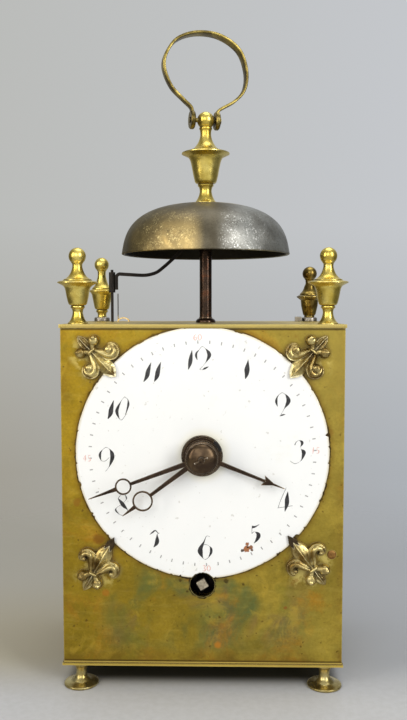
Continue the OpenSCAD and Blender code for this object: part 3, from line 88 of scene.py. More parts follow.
class Shader:
    """Short way to write a node tree: each call adds a node and gives its output socket."""

    def __init__(self, owner, output="Material", coordinates="Object"):
        if isinstance(owner, str):
            owner = bpy.data.materials.new(owner)
        owner.use_nodes = True
        self.owner = owner
        self.tree = owner.node_tree
        self.tree.nodes.clear()
        self.output = self.tree.nodes.new("ShaderNodeOutput" + output)
        self.place = self.add("TexCoord", out=coordinates)
        self.base = None

    def put(self, socket, value):
        if isinstance(value, bpy.types.NodeSocket):
            self.tree.links.new(value, socket)
        elif value is not None:
            socket.default_value = value

    def add(self, kind, *values, out=0, props=None, **inputs):
        """A node with values on its first sockets, and others on the sockets of their names."""
        node = self.tree.nodes.new("ShaderNode" + kind)
        for key, value in (props or {}).items():
            setattr(node, key, value)
        for socket, value in zip(node.inputs, values):
            self.put(socket, value)
        for key, value in inputs.items():
            self.put(node.inputs[key.replace("_", " ")], value)
        return node.outputs if out is None else node.outputs[out]

    def math(self, op, *values):
        return self.add("Math", *values, props={"operation": op})

    def times(self, *factors):
        product = factors[0]
        for factor in factors[1:]:
            product = self.math("MULTIPLY", product, factor)
        return product

    def plus(self, a, b):
        return self.math("ADD", a, b)

    def mix(self, share, a, b):
        node = self.tree.nodes.new("ShaderNodeMix")
        node.data_type = "RGBA"
        for index, value in ((0, share), (6, a), (7, b)):
            self.put(node.inputs[index], value)
        return node.outputs[2]

    def span(self, value, low, high, to_low=0.0, to_high=1.0, kind="SMOOTHSTEP"):
        """value from low to high, as a number from to_low to to_high."""
        return self.add("MapRange", value, low, high, to_low, to_high, props={"interpolation_type": kind})

    def band(self, value, start, full, still, end):
        """0 up to start, 1 from full to still, and 0 again from end on, in millimetres."""
        return self.times(self.span(value, start * MM, full * MM), self.span(value, end * MM, still * MM))

    def noise(self, scale, detail=4.0, rough=0.55, warp=0.0, stretch=None):
        where = self.add("Mapping", Vector=self.place, Scale=stretch) if stretch else self.place
        return self.add("TexNoise", Vector=where, Scale=scale, Detail=detail, Roughness=rough,
                        Distortion=warp)

    def patches(self, scale, detail, rough, low, high, warp=0.0, to_low=0.0, to_high=1.0):
        """Patches of noise: 0 where it is under low, 1 where it is over high."""
        return self.span(self.noise(scale, detail, rough, warp), low, high, to_low, to_high)

    def coat(self, colour, *factors):
        """Lay a colour over the base, as much as the product of the factors."""
        self.base = self.mix(self.times(*factors), self.base, srgb(*colour))

    def tones(self, share, first, second):
        return self.mix(share, srgb(*first), srgb(*second))

    def xyz(self):
        return self.add("SeparateXYZ", self.place, out=None)

    def away(self, a, b):
        """The distance whose two parts are a and b."""
        return self.math("SQRT", self.plus(self.times(a, a), self.times(b, b)))

    def spot(self, x, z, radius, soft=0.6, ragged=0.5):
        """1 within a ragged round spot about (x, z) in millimetres, 0 outside."""
        px, _, pz = self.xyz()
        d = self.away(self.math("SUBTRACT", px, x * MM), self.math("SUBTRACT", pz, z * MM))
        wobble = self.times(self.math("SUBTRACT", self.noise(900 / max(radius, 0.8), 3), 0.5),
                            radius * MM * ragged * 2)
        return self.span(self.plus(d, wobble), radius * MM, radius * (1 - soft) * MM)

    def hollow(self, distance, inside=False, samples=6):
        """How open the surface is within a distance in millimetres: 1 is open, 0 is closed in."""
        return self.add("AmbientOcclusion", out="AO", props={"samples": samples, "inside": inside},
                        Distance=distance * MM)

    def finish(self, metal, rough, bump, strength, depth):
        height = self.add("Bump", Strength=strength, Distance=depth * MM, Height=bump)
        shader = self.add("BsdfPrincipled", Base_Color=self.base, Metallic=metal, Roughness=rough,
                          Normal=height)
        self.put(self.output.inputs[0], shader)
        return self.owner


def plate_marks(s, x, z):
    """The front plate's spots, the crust round its lilies, painted shade on its upper right, a ring of dirt
    and painted shadow round the dial, painted shade in the winding hole and along its top and bottom edges,
    and darker patches low down.
    """
    for px, pz, radius, colour in ((7.0, 20.8, 2.4, (204, 132, 40)), (38.6, 38.9, 1.1, (150, 92, 40)),
                                   (-10.2, 51.7, 1.0, (52, 40, 18)), (-7.0, 46.4, 0.8, (70, 52, 22)),
                                   (11.1, 51.5, 1.5, (44, 34, 16)), (19.0, 50.0, 0.9, (66, 50, 24)),
                                   (-48.0, 71.0, 3.4, (132, 84, 26)), (-42.0, 78.5, 2.6, (132, 84, 26)),
                                   (-54.0, 66.0, 2.0, (126, 80, 26)), (-58.0, 88.0, 2.6, (150, 104, 30)),
                                   (58.0, 121.0, 2.6, (150, 112, 40)), (-45.0, 45.5, 2.4, (176, 116, 34))):
        s.coat(colour, 0.75, s.spot(px, pz, radius))
    # Painted shade on the upper right, which takes back the key lamp's glare
    s.coat((172, 150, 70), 0.5, s.span(x, 0.018, 0.062), s.span(z, 0.085, 0.160))
    for px, pz in ((-49, 155), (49, 155), (-49, 57), (50, 59)):
        s.coat((232, 212, 124), 0.66, s.spot(px, pz, 12, 0.5, 0.5), s.patches(230, 4, 0.65, 0.44, 0.58))
        s.coat((140, 92, 28), 0.55, s.spot(px - 3, pz + 2, 13, 0.5, 0.6),
               s.patches(120, 4, 0.65, 0.54, 0.66, 0.4))
    # A dark ring round the dial's edge, stronger lower down: dirt and painted shadow where the dial stands
    # out from the plate
    ragged = s.times(s.math("SUBTRACT", s.noise(330, 4, 0.6), 0.5), 0.0026)
    r = s.plus(s.away(x, s.math("SUBTRACT", z, CENTRE_Z * MM)), ragged)
    s.coat((128, 94, 26), 0.45, s.span(r, (DIAL_R + 3.2) * MM, (DIAL_R + 0.4) * MM))
    s.coat((48, 34, 12), s.span(r, (DIAL_R + 0.80) * MM, (DIAL_R + 0.35) * MM),
           s.patches(120, 3, 0.6, 0.40, 0.58, 0, 0.35, 1.0), s.span(z, 0.160, 0.110, 0.6, 0.95))
    # Near-black round the winding hole: painted shade in the hole
    h = s.plus(s.away(x, s.math("SUBTRACT", z, WIND_Z * MM)), ragged)
    s.coat((26, 19, 8), 0.95, s.span(h, 6.7 * MM, 6.1 * MM))
    # Painted shade in bands under the top plate and over the base plate
    s.coat((58, 42, 14), 0.85, s.math("MAXIMUM", s.span(z, (CEIL_Z - 1.5) * MM, (CEIL_Z - 0.5) * MM),
                                      s.span(z, (FLOOR_Z + 1.9) * MM, (FLOOR_Z + 0.9) * MM)))
    s.coat((104, 74, 26), 0.5, s.span(z, 0.021, 0.014), s.patches(60, 4, 0.6, 0.35, 0.6))
    s.coat((222, 196, 96), 0.9, s.span(z, (FLOOR_Z + 0.8) * MM, (FLOOR_Z + 0.5) * MM))


def rim_marks(s, z):
    """The top and base plates' edges: lighter, with painted shade where they meet the front plate."""
    s.coat((206, 186, 114), 0.7, s.span(z, (CEIL_Z - 0.2) * MM, (CEIL_Z + 0.2) * MM))
    # Painted shade on the top plate's lower edge, where it meets the front plate
    s.coat((96, 70, 24), 0.55, s.band(z, CEIL_Z + 0.02, CEIL_Z + 0.25, CEIL_Z + 0.45, CEIL_Z + 0.7))
    s.coat((222, 194, 96), 0.6, s.span(z, (FLOOR_Z - 0.3) * MM, (FLOOR_Z - 0.5) * MM))
    # Painted shade along the base plate's upper edge, where it meets the front plate
    s.coat((76, 54, 16), 0.8, s.band(z, FLOOR_Z - 0.45, FLOOR_Z - 0.15, FLOOR_Z + 0.3, FLOOR_Z + 0.9))


def case_brass(plate=False):
    """Old sheet brass, darker lower down. The front plate has blue-green clouds there, more dirt and painted
    shade; the other plates have painted shade where they meet it.
    """
    s = Shader("front_brass" if plate else "case_brass")
    x, _, z = s.xyz()
    across = s.span(x, -0.06, 0.065)
    s.base = s.mix(s.patches(23, 6, 0.62, 0.34, 0.66, 0.6), s.tones(across, (150, 124, 24), (156, 136, 52)),
                   s.tones(across, (184, 150, 34), (200, 174, 72)))
    s.coat((134, 116, 30), 0.36, s.span(z, 0.105, 0.030))
    if plate:
        middle = s.times(s.band(z, 14, 26, 46, 66), s.band(x, -52, -30, 34, 58))
        s.coat((84, 108, 64), 0.85, middle, s.patches(30, 4, 0.55, 0.42, 0.62, 0.9))
        s.coat((122, 96, 72), 0.6, middle, s.patches(37, 4, 0.6, 0.52, 0.68, 0.7))
    s.coat((184, 128, 32), 0.68, s.patches(33, 6, 0.7, 0.53, 0.70, 0.5))
    s.coat((128, 126, 44), 0.40, s.patches(47, 5, 0.65, 0.54, 0.70, 0.4))
    grain = s.noise(900, 4, 0.7)
    s.coat((108, 88, 26), 0.30, s.span(grain, 0.3, 0.72))
    s.coat((216, 192, 96), 0.13, s.span(s.noise(90, 5, 0.7, 0.3, (1, 1, 4)), 0.46, 0.72))
    s.coat((112, 96, 26), 0.30, s.patches(115, 5, 0.7, 0.50, 0.68, 0.3))
    s.coat((214, 180, 66), 0.34, s.patches(82, 5, 0.7, 0.52, 0.70, 0.5))
    edges = s.span(s.math("ABSOLUTE", x), 0.058, 0.0655)
    s.coat((112, 74, 22), 0.35, edges, s.patches(60, 4, 0.6, 0.42, 0.62))
    s.coat((92, 66, 20), 0.7, s.patches(420, 2, 0.4, 0.67, 0.75))
    if plate:
        plate_marks(s, x, z)
    else:
        rim_marks(s, z)
    dirt = s.span(s.hollow(3.2), 0.86, 0.42)
    s.coat((84, 62, 20), 0.75, dirt)
    s.coat((232, 212, 130), 0.6, s.span(s.hollow(0.7, inside=True), 0.80, 0.45))
    scratch = s.noise(240, 4, 0.6, stretch=(1, 1, 8))
    bump = s.plus(s.times(scratch, 0.5), s.times(grain, 0.5))
    roughness = s.patches(70, 5, 0.6, 0.3, 0.7, 0, 0.38, 0.54)
    return s.finish(s.span(dirt, 0, 1, 0.80, 0.35), roughness, bump, 0.25, 0.05)


def turned_brass(name, bright, deep, dirt_colour, reach, rough=(0.22, 0.42), rings=True, worn=(244, 230, 160),
                 share=0.45, fleck=0.28, relief_depth=0.22, dirty=(0.80, 0.35)):
    """Solid brass: two tones in clouds, dirt in its recesses within reach, and wear on its edges."""
    s = Shader(name)
    s.base = s.tones(s.patches(120, 5, 0.65, 0.35, 0.68, 0.3), deep, bright)
    s.coat((118, 94, 32), fleck, s.patches(2600, 3, 0.7, 0.45, 0.75))
    dirt = s.math("MAXIMUM", s.span(s.hollow(reach),
        *dirty), s.times(s.patches(380, 3, 0.5, 0.64, 0.74), 0.3))
    s.coat(dirt_colour, 0.85, dirt)
    s.coat(worn, share, s.span(s.hollow(0.6, inside=True), 0.80, 0.40))
    bump = s.noise(700, 4, 0.65)
    if rings:
        bump = s.plus(bump, s.times(s.noise(260, 3, 0.6, stretch=(0.05, 0.05, 9)), 1.2))
    roughness = s.plus(s.patches(190, 4, 0.6, 0.3, 0.7, 0, *rough), s.times(dirt, 0.25))
    return s.finish(s.span(dirt, 0, 1, 0.95, 0.4), roughness, bump, relief_depth, 0.04)


def bell_skin():
    """Browned bell metal with painted lamp light: warmer on the left and paler on the right, a golden
    highlight on the left of the front and a silvery one on the right, both with bright flecks where the
    patina is worn, and a pale highlight near the crown.
    """
    s = Shader("bell_patina")
    x, y, z = s.xyz()
    # Warmer on the left and paler grey on the right: painted tints of the warm left lamp and the cool right
    # lamp
    s.base = s.tones(s.span(x, -0.036, -0.004), (100, 89, 54), (98, 91, 74))
    s.coat((146, 147, 141), s.span(x, 0.004, 0.022))
    s.coat((68, 62, 48), 0.55, s.patches(50, 5, 0.6, 0.38, 0.66, 0.5))
    s.coat((62, 54, 40), 0.45, s.patches(1300, 4, 0.7, 0.35, 0.75))
    front = s.span(y, 0.012, -0.02)
    height = s.span(z, 0.231, 0.208)
    patchy = s.patches(70, 4, 0.6, 0.36, 0.64, 0.4, 0.35, 1.0)
    # Painted highlights on the front: a golden one on the left, a silvery one on the right
    left = s.times(s.band(x, -37, -20, -8, 2), front)
    s.coat((226, 196, 128), 0.95, left, s.span(x, -0.028, -0.016, 0.62, 1.0), height, height, patchy)
    right = s.times(s.band(x, 5, 14, 22, 34), front)
    s.coat((176, 174, 166), 0.5, right, patchy, s.span(z, 0.2235, 0.212))
    # Bright flecks in those highlights: worn patina and painted highlight
    flecks = s.noise(1400, 4, 0.75)
    worn = s.times(s.span(flecks, 0.54, 0.62), s.patches(210, 3, 0.6, 0.38, 0.58),
                   s.math("MAXIMUM", left, right), s.span(z, 0.229, 0.214), 0.9)
    s.base = s.mix(worn, s.base, s.tones(s.span(x, 0.0, 0.01), (246, 226, 162), (240, 238, 230)))
    s.coat((52, 44, 30), 0.55, s.span(flecks, 0.47, 0.36), s.patches(260, 3, 0.6, 0.42, 0.6))
    # A pale band near the crown: painted highlight
    s.coat((186, 168, 112), 0.5, s.span(z, 0.2265, 0.2295), s.patches(90, 4, 0.7, 0.42, 0.62))
    bump = s.plus(s.noise(1100, 4, 0.7), s.times(s.noise(140, 3, 0.5), 1.5))
    return s.finish(0.75, s.patches(160, 4, 0.6, 0.3, 0.7, 0, 0.42, 0.56), bump, 0.35, 0.08)


def dark_metal(name, dark, light, wear, metal=0.7, rough=(0.3, 0.5), rust=None, edges=0.5):
    """Iron, steel or browned metal: two tones in clouds, fine grain, wear on edges and, if named, rust."""
    s = Shader(name)
    s.base = s.tones(s.patches(160, 5, 0.65, 0.35, 0.7), dark, light)
    s.coat(dark, 0.4, s.patches(1400, 3, 0.7, 0.4, 0.75))
    if rust:
        s.coat(rust, 0.75, s.patches(230, 5, 0.7, 0.48, 0.68, 0.6))
    s.coat(wear, edges, s.span(s.hollow(0.5, inside=True), 0.80, 0.40))
    s.coat((24, 18, 12), 0.5, s.span(s.hollow(2.0), 0.75, 0.3))
    bump = s.plus(s.noise(1100, 4, 0.7), s.noise(300, 3, 0.5))
    return s.finish(metal, s.patches(240, 4, 0.6, 0.3, 0.7, 0, *rough), bump, 0.3, 0.05)


def enamel():
    """White enamel, yellowed about the hands and at the rim, with a chip full of rust under the 5."""
    s = Shader("enamel")
    x, _, z = s.xyz()
    s.base = s.tones(s.times(s.patches(45, 4, 0.5, 0.35, 0.7), 0.6), (247, 247, 244), (242, 243, 241))
    s.coat((168, 160, 144), 0.35, s.patches(520, 2, 0.4, 0.70, 0.76))
    s.coat((240, 230, 182), 0.50, s.spot(0.5, CENTRE_Z, 14.0, 0.5, 0.1))
    s.coat((232, 226, 202), 0.15, s.patches(70, 5, 0.7, 0.58, 0.75))
    for px, pz, radius, colour in ((20.4, 67.4, 1.7, (156, 88, 16)), (22.3, 68.1, 1.1, (132, 72, 12)),
                                   (20.6, 69.7, 0.9, (142, 78, 18)), (18.6, 66.6, 0.9, (64, 36, 10)),
                                   (22.9, 66.9, 0.7, (84, 46, 12)), (20.9, 68.2, 0.5, (48, 28, 8))):
        s.coat(colour, 0.95, s.spot(px, pz, radius, 0.3, 0.8))
    r = s.away(x, s.math("SUBTRACT", z, CENTRE_Z * MM))
    s.coat((226, 214, 178), 0.7, s.span(r, (DIAL_R - 1.5) * MM, (DIAL_R - 0.3) * MM))
    bump = s.plus(s.noise(40, 3, 0.5), s.times(s.noise(300, 3, 0.5), 0.15))
    return s.finish(0.0, s.patches(60, 3, 0.55, 0.3, 0.7, 0, 0.12, 0.2), bump, 0.15, 0.1)


def plain_detail(name, first, second, rough=0.6, metal=0.0, scale=600):
    """Paint, copper, dirt and painted shade: two tones in fine grain."""
    s = Shader(name)
    grain = s.noise(scale, 4, 0.7)
    s.base = s.tones(s.span(grain, 0.35, 0.68), first, second)
    return s.finish(metal, s.span(grain, 0.3, 0.7, rough - 0.08, rough + 0.08), grain, 0.2, 0.03)


def changing_metal(name, scale, axis, start, end, first, second, metal=0.85, rough=(0.26, 0.42)):
    """A metal of two tones that turns into another one from start to end along an axis."""
    s = Shader(name)
    grain = s.noise(scale, 4, 0.65)
    share = s.span(grain, 0.35, 0.68)
    turn = s.span(s.xyz()[axis], start * MM, end * MM)
    s.base = s.mix(turn, s.tones(share, *first), s.tones(share, *second))
    return s.finish(metal, s.span(grain, 0.3, 0.7, *rough), grain, 0.2, 0.03)


FINISH = {
    "case_brass": case_brass(),
    "ornament_brass": turned_brass(
        "ornament_brass", (242, 220, 124), (206, 180, 78), (78, 52, 14), 7.0, (0.24, 0.36),
        worn=(250, 240, 186), share=0.6, fleck=0.2, relief_depth=0.12),
    "bell_metal": bell_skin(),
    "iron": dark_metal("iron", (30, 25, 22), (48, 42, 36), (96, 86, 76), rough=(0.34, 0.5)),
    "steel": dark_metal("steel", (150, 144, 136), (186, 180, 172), (226, 222, 214), 0.95, (0.25, 0.42)),
    "blued_steel": dark_metal("blued_steel", (46, 34, 26), (74, 56, 40), (176, 150, 112), rough=(0.20, 0.34),
                              edges=0.7),
    "spring_brass": turned_brass("spring_brass", (214, 182, 96), (178, 146, 70), (84, 60, 26), 1.0,
                                 rings=False),
    "spring_steel": dark_metal("spring_steel", (84, 86, 92), (112, 114, 120), (180, 182, 188), 0.95),
    "enamel": enamel(),
    "movement_brass": turned_brass("movement_brass", (222, 190, 88), (188, 156, 60), (84, 60, 26), 2.0,
                                   rings=False),
}
CAST = turned_brass("cast_brass", (216, 198, 134), (118, 94, 46), (38, 26, 10), 1.9, (0.25, 0.38), False,
                    (244, 234, 196), 0.6, fleck=0.06, relief_depth=0.03, dirty=(0.84, 0.46))
TARNISHED = turned_brass("tarnished_brass", (162, 140, 70), (92, 70, 30), (34, 22, 10), 3.0, (0.22, 0.34),
                         worn=(220, 200, 140), share=0.7, fleck=0.1, relief_depth=0.12)
FOOT = turned_brass("foot_brass", (216, 202, 146), (160, 142, 84), (60, 44, 18), 2.4, (0.24, 0.38),
                    worn=(238, 230, 190), share=0.7, relief_depth=0.14)
HANDLE = turned_brass("handle_brass", (176, 156, 84), (94, 81, 42), (40, 30, 16), 1.6, (0.30, 0.42), False,
                      (222, 202, 136), 0.12, fleck=0.03, relief_depth=0.03)
POST = dark_metal("post_iron", (50, 38, 30), (84, 64, 50), (170, 144, 118), 0.85, (0.18, 0.32), (96, 60, 40))
DULL_STEEL = dark_metal("dull_steel", (66, 52, 40), (100, 82, 60), (236, 226, 206), 0.9, (0.26, 0.4),
                        edges=0.9)
# The bell's inside is near-black: painted shade
BELL_INSIDE_SHADE = plain_detail("bell_inside", (7, 5, 3), (15, 11, 7), 0.7, 0.2)
RIM = plain_detail("dial_rim", (40, 29, 16), (98, 74, 44), 0.6, 0.2)
INK = plain_detail("numeral_ink", (24, 22, 24), (54, 52, 54), 0.35)
FADED = plain_detail("faded_ink", (140, 138, 136), (186, 185, 182), 0.4, scale=1500)
RED = plain_detail("faded_red", (224, 172, 160), (236, 202, 194), 0.4, scale=1500)
COPPER = plain_detail("rivet_copper", (120, 82, 38), (156, 116, 58), 0.42, 0.7)
CLIP = plain_detail("clip_iron", (44, 34, 18), (76, 60, 34), 0.42, 0.6)
# Near-black: painted shade for the alarm disc's slot
SLOT_SHADE = plain_detail("dark_slot", (10, 8, 6), (26, 20, 14), 0.6, 0.2)

# Nodes whose metal differs from their slot's. Three of them change along their length. The winding arbor
# turns near-black inside the case and the ratchet wheel is near-black: painted shade
OWN_FINISH = {
    "front_plate": case_brass(plate=True),
    "centre_wheel": changing_metal("arbor_metal", 500, 1, FRONT_Y + 3, FRONT_Y - 3,
                                   ((188, 156, 60), (222, 190, 88)), ((50, 38, 28), (96, 78, 58))),
    "hammer_spring": changing_metal("hammer_spring_metal", 900, 2, TOP_Z + 1.5, TOP_Z + 4.5,
                                    ((190, 160, 96), (226, 200, 140)), ((58, 54, 50), (92, 88, 82))),
    # Near-black behind the front plate: painted shade inside the case
    "winding_arbor": changing_metal("square_metal", 520, 1, FRONT_Y + 0.9, FRONT_Y + 2.6,
                                    ((154, 143, 122), (198, 187, 162)), ((22, 18, 14), (44, 38, 30)),
                                    0.7, (0.30, 0.45)),
    # Near-black: painted shade inside the case
    "ratchet_wheel": dark_metal("oily_steel", (26, 22, 18), (46, 40, 34), (104, 96, 86), 0.85, (0.3, 0.45)),
    "hand_pin": DULL_STEEL,
    "top_lug": FINISH["steel"],
}
SLOT_OF = {part["node"]: part["material_slot"] for part in frame["record"]["subparts"]}
BODY_OF = {node: body for body, members in frame["record"]["behaviour"]["bodies"].items() for node in members}

for name, node in nodes.items():
    for material_slot in node.material_slots:
        material_slot.material = OWN_FINISH.get(name, FINISH[SLOT_OF[name]])


# Mesh helpers
TURNED_SHARP = 28          # degrees between faces from which a turned piece's edge stays sharp


def placed(obj, slot, body, replaced, bevel=0.0, sharp=35):
    """Put an object into the scene: smooth, sharp edges kept or rounded, and on its body. Its slot is not
    used.
    """
    scene.collection.objects.link(obj)
    for polygon in obj.data.polygons:
        polygon.use_smooth = True
    if bevel:
        rounding = obj.modifiers.new("rounding", "BEVEL")
        rounding.width = bevel * MM
        rounding.segments = 3
        rounding.limit_method = "ANGLE"
        rounding.angle_limit = math.radians(sharp)
        flat = obj.modifiers.new("flat_faces", "WEIGHTED_NORMAL")
        flat.keep_sharp = True
        flat.weight = 100
    else:
        obj.data.set_sharp_from_angle(angle=math.radians(sharp))
    if replaced:
        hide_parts(*replaced)
    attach(obj, body)
    return obj


def piece(name, shape, replaced=(), material=None, body="case", slot="ornament_brass", second=None,
          marks=None, **edges):
    """A mesh piece from (verts, faces) in the clock's frame. Faces marked 1 have the second material."""
    verts, faces = shape
    mesh = bpy.data.meshes.new(name)
    mesh.from_pydata([Vector(v) * MM for v in verts], [], faces)
    mesh.validate()
    mesh.materials.append(material or FINISH[slot])
    if second:
        mesh.materials.append(second)
        mesh.polygons.foreach_set("material_index", marks)
    work = bmesh.new()
    work.from_mesh(mesh)
    bmesh.ops.recalc_face_normals(work, faces=work.faces)
    work.to_mesh(mesh)
    work.free()
    return placed(bpy.data.objects.new(name, mesh), slot, body, replaced, **edges)


def dress(node, bevel, material=None, sharp=35):
    """A CAD node's own shape with welded faces and rounded edges, in place of the node."""
    mesh = nodes[node].data.copy()
    mesh.name = node + "_dressed"
    work = bmesh.new()
    work.from_mesh(mesh)
    bmesh.ops.remove_doubles(work, verts=work.verts, dist=0.002 * MM)
    bmesh.ops.dissolve_limit(work, angle_limit=math.radians(1.0), verts=work.verts, edges=work.edges)
    work.to_mesh(mesh)
    work.free()
    if mesh.attributes.get("custom_normal"):
        mesh.attributes.remove(mesh.attributes["custom_normal"])
    mesh.materials.clear()
    mesh.materials.append(material or OWN_FINISH.get(node, FINISH[SLOT_OF[node]]))
    placed(bpy.data.objects.new(mesh.name, mesh), SLOT_OF[node], BODY_OF[node], [node], bevel, sharp)


def spline(points, steps):
    """A smooth curve through points. Extra numbers in a point, such as a width, go along."""
    last = len(points) - 1
    result = []
    for i in range(last):
        a, b, c, d = (points[min(max(k, 0), last)] for k in (i - 1, i, i + 1, i + 2))
        for t in (k / steps for k in range(steps)):
            result.append(tuple(
                0.5 * (2 * q + (r - p) * t + (2 * p - 5 * q + 4 * r - s) * t * t
                       + (3 * q - p - 3 * r + s) * t ** 3)
                for p, q, r, s in zip(a, b, c, d)))
    return [*result, tuple(points[-1])]


def sideways(run):
    """Each point of a flat run, with the direction across the run at its end."""
    for i, point in enumerate(run):
        a, b = run[max(i - 1, 0)], run[min(i + 1, len(run) - 1)]
        d = Vector((b[0] - a[0], b[1] - a[1])).normalized()
        yield (*point, -d[1], d[0])


def turned_profile(points, corner=32, steps=3):
    """A lathe profile made smooth between its corners, which are the points that turn by more than corner."""
    points = [Vector(p) for p, q in zip(points, [None, *points]) if p != q]
    last = len(points) - 1
    corners = [i for i in range(1, last)
               if (points[i] - points[i - 1]).angle(points[i + 1] - points[i]) > math.radians(corner)]
    result = []
    for start, end in zip([0, *corners], [*corners, last]):
        result += spline([tuple(p) for p in points[start:end + 1]], steps)[:-1]
    return [*result, tuple(points[last])]


def tube(rings, caps=(0, -1), loop=False):
    """A skin over rings of equally many points, with caps on the rings named, or back to the first ring."""
    n, count = len(rings[0]), len(rings)
    faces = [(i * n + k, i * n + (k + 1) % n, j * n + (k + 1) % n, j * n + k)
             for i, j in zip(range(count), [*range(1, count), 0]) if j or loop for k in range(n)]
    faces += [tuple(range(i % count * n, (i % count + 1) * n)) for i in caps]
    return [p for ring in rings for p in ring], faces


def lathe(profile, place, segments=96, closed=False):
    """A surface of revolution. place turns (r cos, r sin, height) into the clock's frame."""
    turns = [2 * math.pi * k / segments for k in range(segments)]
    rings = [[place(r * math.cos(a), r * math.sin(a), h) for a in turns] for r, h in profile]
    return tube(rings, () if closed else [i for i in (0, -1) if profile[i][0] > 1e-6], closed)


def turned(name, profile, place, replaced=(), segments=96, closed=False, sharp=TURNED_SHARP, **more):
    """A piece made on the lathe."""
    return piece(name, lathe(profile, place, segments, closed), replaced, sharp=sharp, **more)


def upright(x, y, z=0.0):
    return lambda a, b, h: (x + a, y + b, z + h)


def forward(x, z, y=FRONT_Y):
    """Places a turned part whose axis comes out of the dial's side: heights run towards the viewer."""
    return lambda a, b, h: (x + a, y - h, z + b)


def joined(parts):
    """Several (verts, faces) as one."""
    verts, faces = [], []
    for v, f in parts:
        base = len(verts)
        verts += v
        faces += [tuple(i + base for i in face) for face in f]
    return verts, faces


# Floor, backdrop and light
FLOOR_R, FADE_FROM, FADE_TO = 1000, 140, 460
# Low down the backdrop is darker than high up, and warm on the left: a painted shadow of the clock
BACK_LOW = (162, 158, 147), (174, 179, 186)      # left and right of the backdrop
BACK_HIGH = (186, 187, 184), (198, 201, 206)
ROOM = 0.22                # how dark the sides of the room look in the brass
FRONT_LIGHT = 0.42         # how white the room in front looks in the brass
GLOW = 0.36                # how bright the room lights what stands in it
WARM_WHITE = (1.0, 0.99, 0.97, 1)

floor_v, floor_f = lathe([(r, 0) for r in (100, 200, 350, 500, 700, FLOOR_R)], upright(0, 0))
floor_mesh = bpy.data.meshes.new("floor")
floor_mesh.from_pydata([Vector(v) * MM for v in floor_v], [], floor_f[:-1])
floor = bpy.data.objects.new("floor", floor_mesh)
scene.collection.objects.link(floor)


def paper():
    """Pale paper with the clock's shadow painted on it: darker from the case's front backwards, warm on the
    left, and deepened under the case. It fades into the backdrop.
    """
    s = Shader("floor_paper")
    x, y, _ = s.xyz()
    s.base = s.tones(s.patches(300, 4, 0.6, 0.3, 0.7), (188, 189, 190), (194, 195, 197))
    side = s.span(x, -0.10, 0.10)
    # Painted shadow of the clock: the paper darker from just in front of the case backwards, warm on the left
    # and cool on the right
    s.base = s.mix(s.span(y, -0.055, 0.0), s.base, s.tones(side, (172, 167, 150), (166, 169, 174)))
    s.base = s.mix(s.span(y, 0.02, 0.12), s.base, s.tones(side, (174, 172, 163), (174, 177, 182)))
    s.coat((42, 40, 30), s.span(s.math("ABSOLUTE", x), 0.068, 0.058), s.band(y, -35, -22, 44, 54))
    sheet = s.add("BsdfPrincipled", Base_Color=s.base, Roughness=0.7, Specular_IOR_Level=0.2)
    fade = s.span(s.away(x, y), FADE_FROM * MM, FADE_TO * MM)
    s.put(s.output.inputs[0], s.add("MixShader", fade, sheet, s.add("BsdfTransparent")))
    return s.owner


def light_room(world):
    """The backdrop for the eye and for reflections, and a dim even light for everything else."""
    s = Shader(world, "World", "Generated")
    x, y, z = s.xyz()
    rays = s.add("LightPath", out=None)
    glossy = rays["Is Glossy Ray"]
    across = s.span(x, -0.3, 0.3, kind="LINEAR")
    # The backdrop darkens towards the bottom: painted shadow of the clock
    up = s.span(z, -0.20, 0.10, kind="LINEAR")
    backdrop = s.mix(up, s.tones(across, *BACK_LOW), s.tones(across, *BACK_HIGH))
    sides = s.times(s.span(s.math("ABSOLUTE", x), 0.42, 0.88, kind="LINEAR"), glossy)
    ahead = s.times(s.span(y, -0.35, -0.85, 0.0, FRONT_LIGHT, "LINEAR"), glossy)
    seen = s.add("Background", s.mix(ahead, backdrop, WARM_WHITE), s.span(sides, 0, 1, 1, ROOM, "LINEAR"))
    shown = s.math("MAXIMUM", s.math("MAXIMUM", rays["Is Camera Ray"], glossy), rays["Is Transmission Ray"])
    s.put(s.output.inputs[0], s.add("MixShader", shown, s.add("Background", WARM_WHITE, GLOW), seen))


def lamp(name, place, aim_z, width, height, power, colour=(1, 1, 1)):
    data = bpy.data.lights.new(name, "AREA")
    data.shape = "RECTANGLE"
    data.size, data.size_y = width, height
    data.energy = power
    data.color = colour
    obj = bpy.data.objects.new(name, data)
    scene.collection.objects.link(obj)
    obj.location = place
    obj.rotation_euler = (Vector((0, 0, aim_z)) - Vector(place)).to_track_quat("-Z", "Y").to_euler()


floor_mesh.materials.append(paper())
scene.world = bpy.data.worlds.new("studio")
light_room(scene.world)
lamp("key", (0.80, -0.80, 0.58), 0.15, 0.35, 0.8, 7.8, (0.98, 0.99, 1.0))
lamp("fill", (-0.85, -0.62, 0.48), 0.14, 0.35, 0.8, 4.4, (1.0, 0.95, 0.86))
lamp("front", (-0.22, -0.95, 0.52), 0.15, 0.55, 0.45, 2.3)
lamp("overhead", (0.1, 0.10, 1.25), 0.0, 0.8, 0.8, 5.0)


# Turned brass: finials, feet and knobs
BALL_STEPS = 18


def finial_profile(points, height, ball, neck):
    """A profile that ends in a neck of the given radius with a ball on it, height in all."""
    start = -math.acos(min(1.0, neck / ball))
    arc = [(ball * math.cos(a), height - ball + ball * math.sin(a))
           for a in (start + (math.pi / 2 - start) * k / BALL_STEPS for k in range(BALL_STEPS + 1))]
    return turned_profile(points + [(neck, arc[0][1])], 30) + arc[1:]


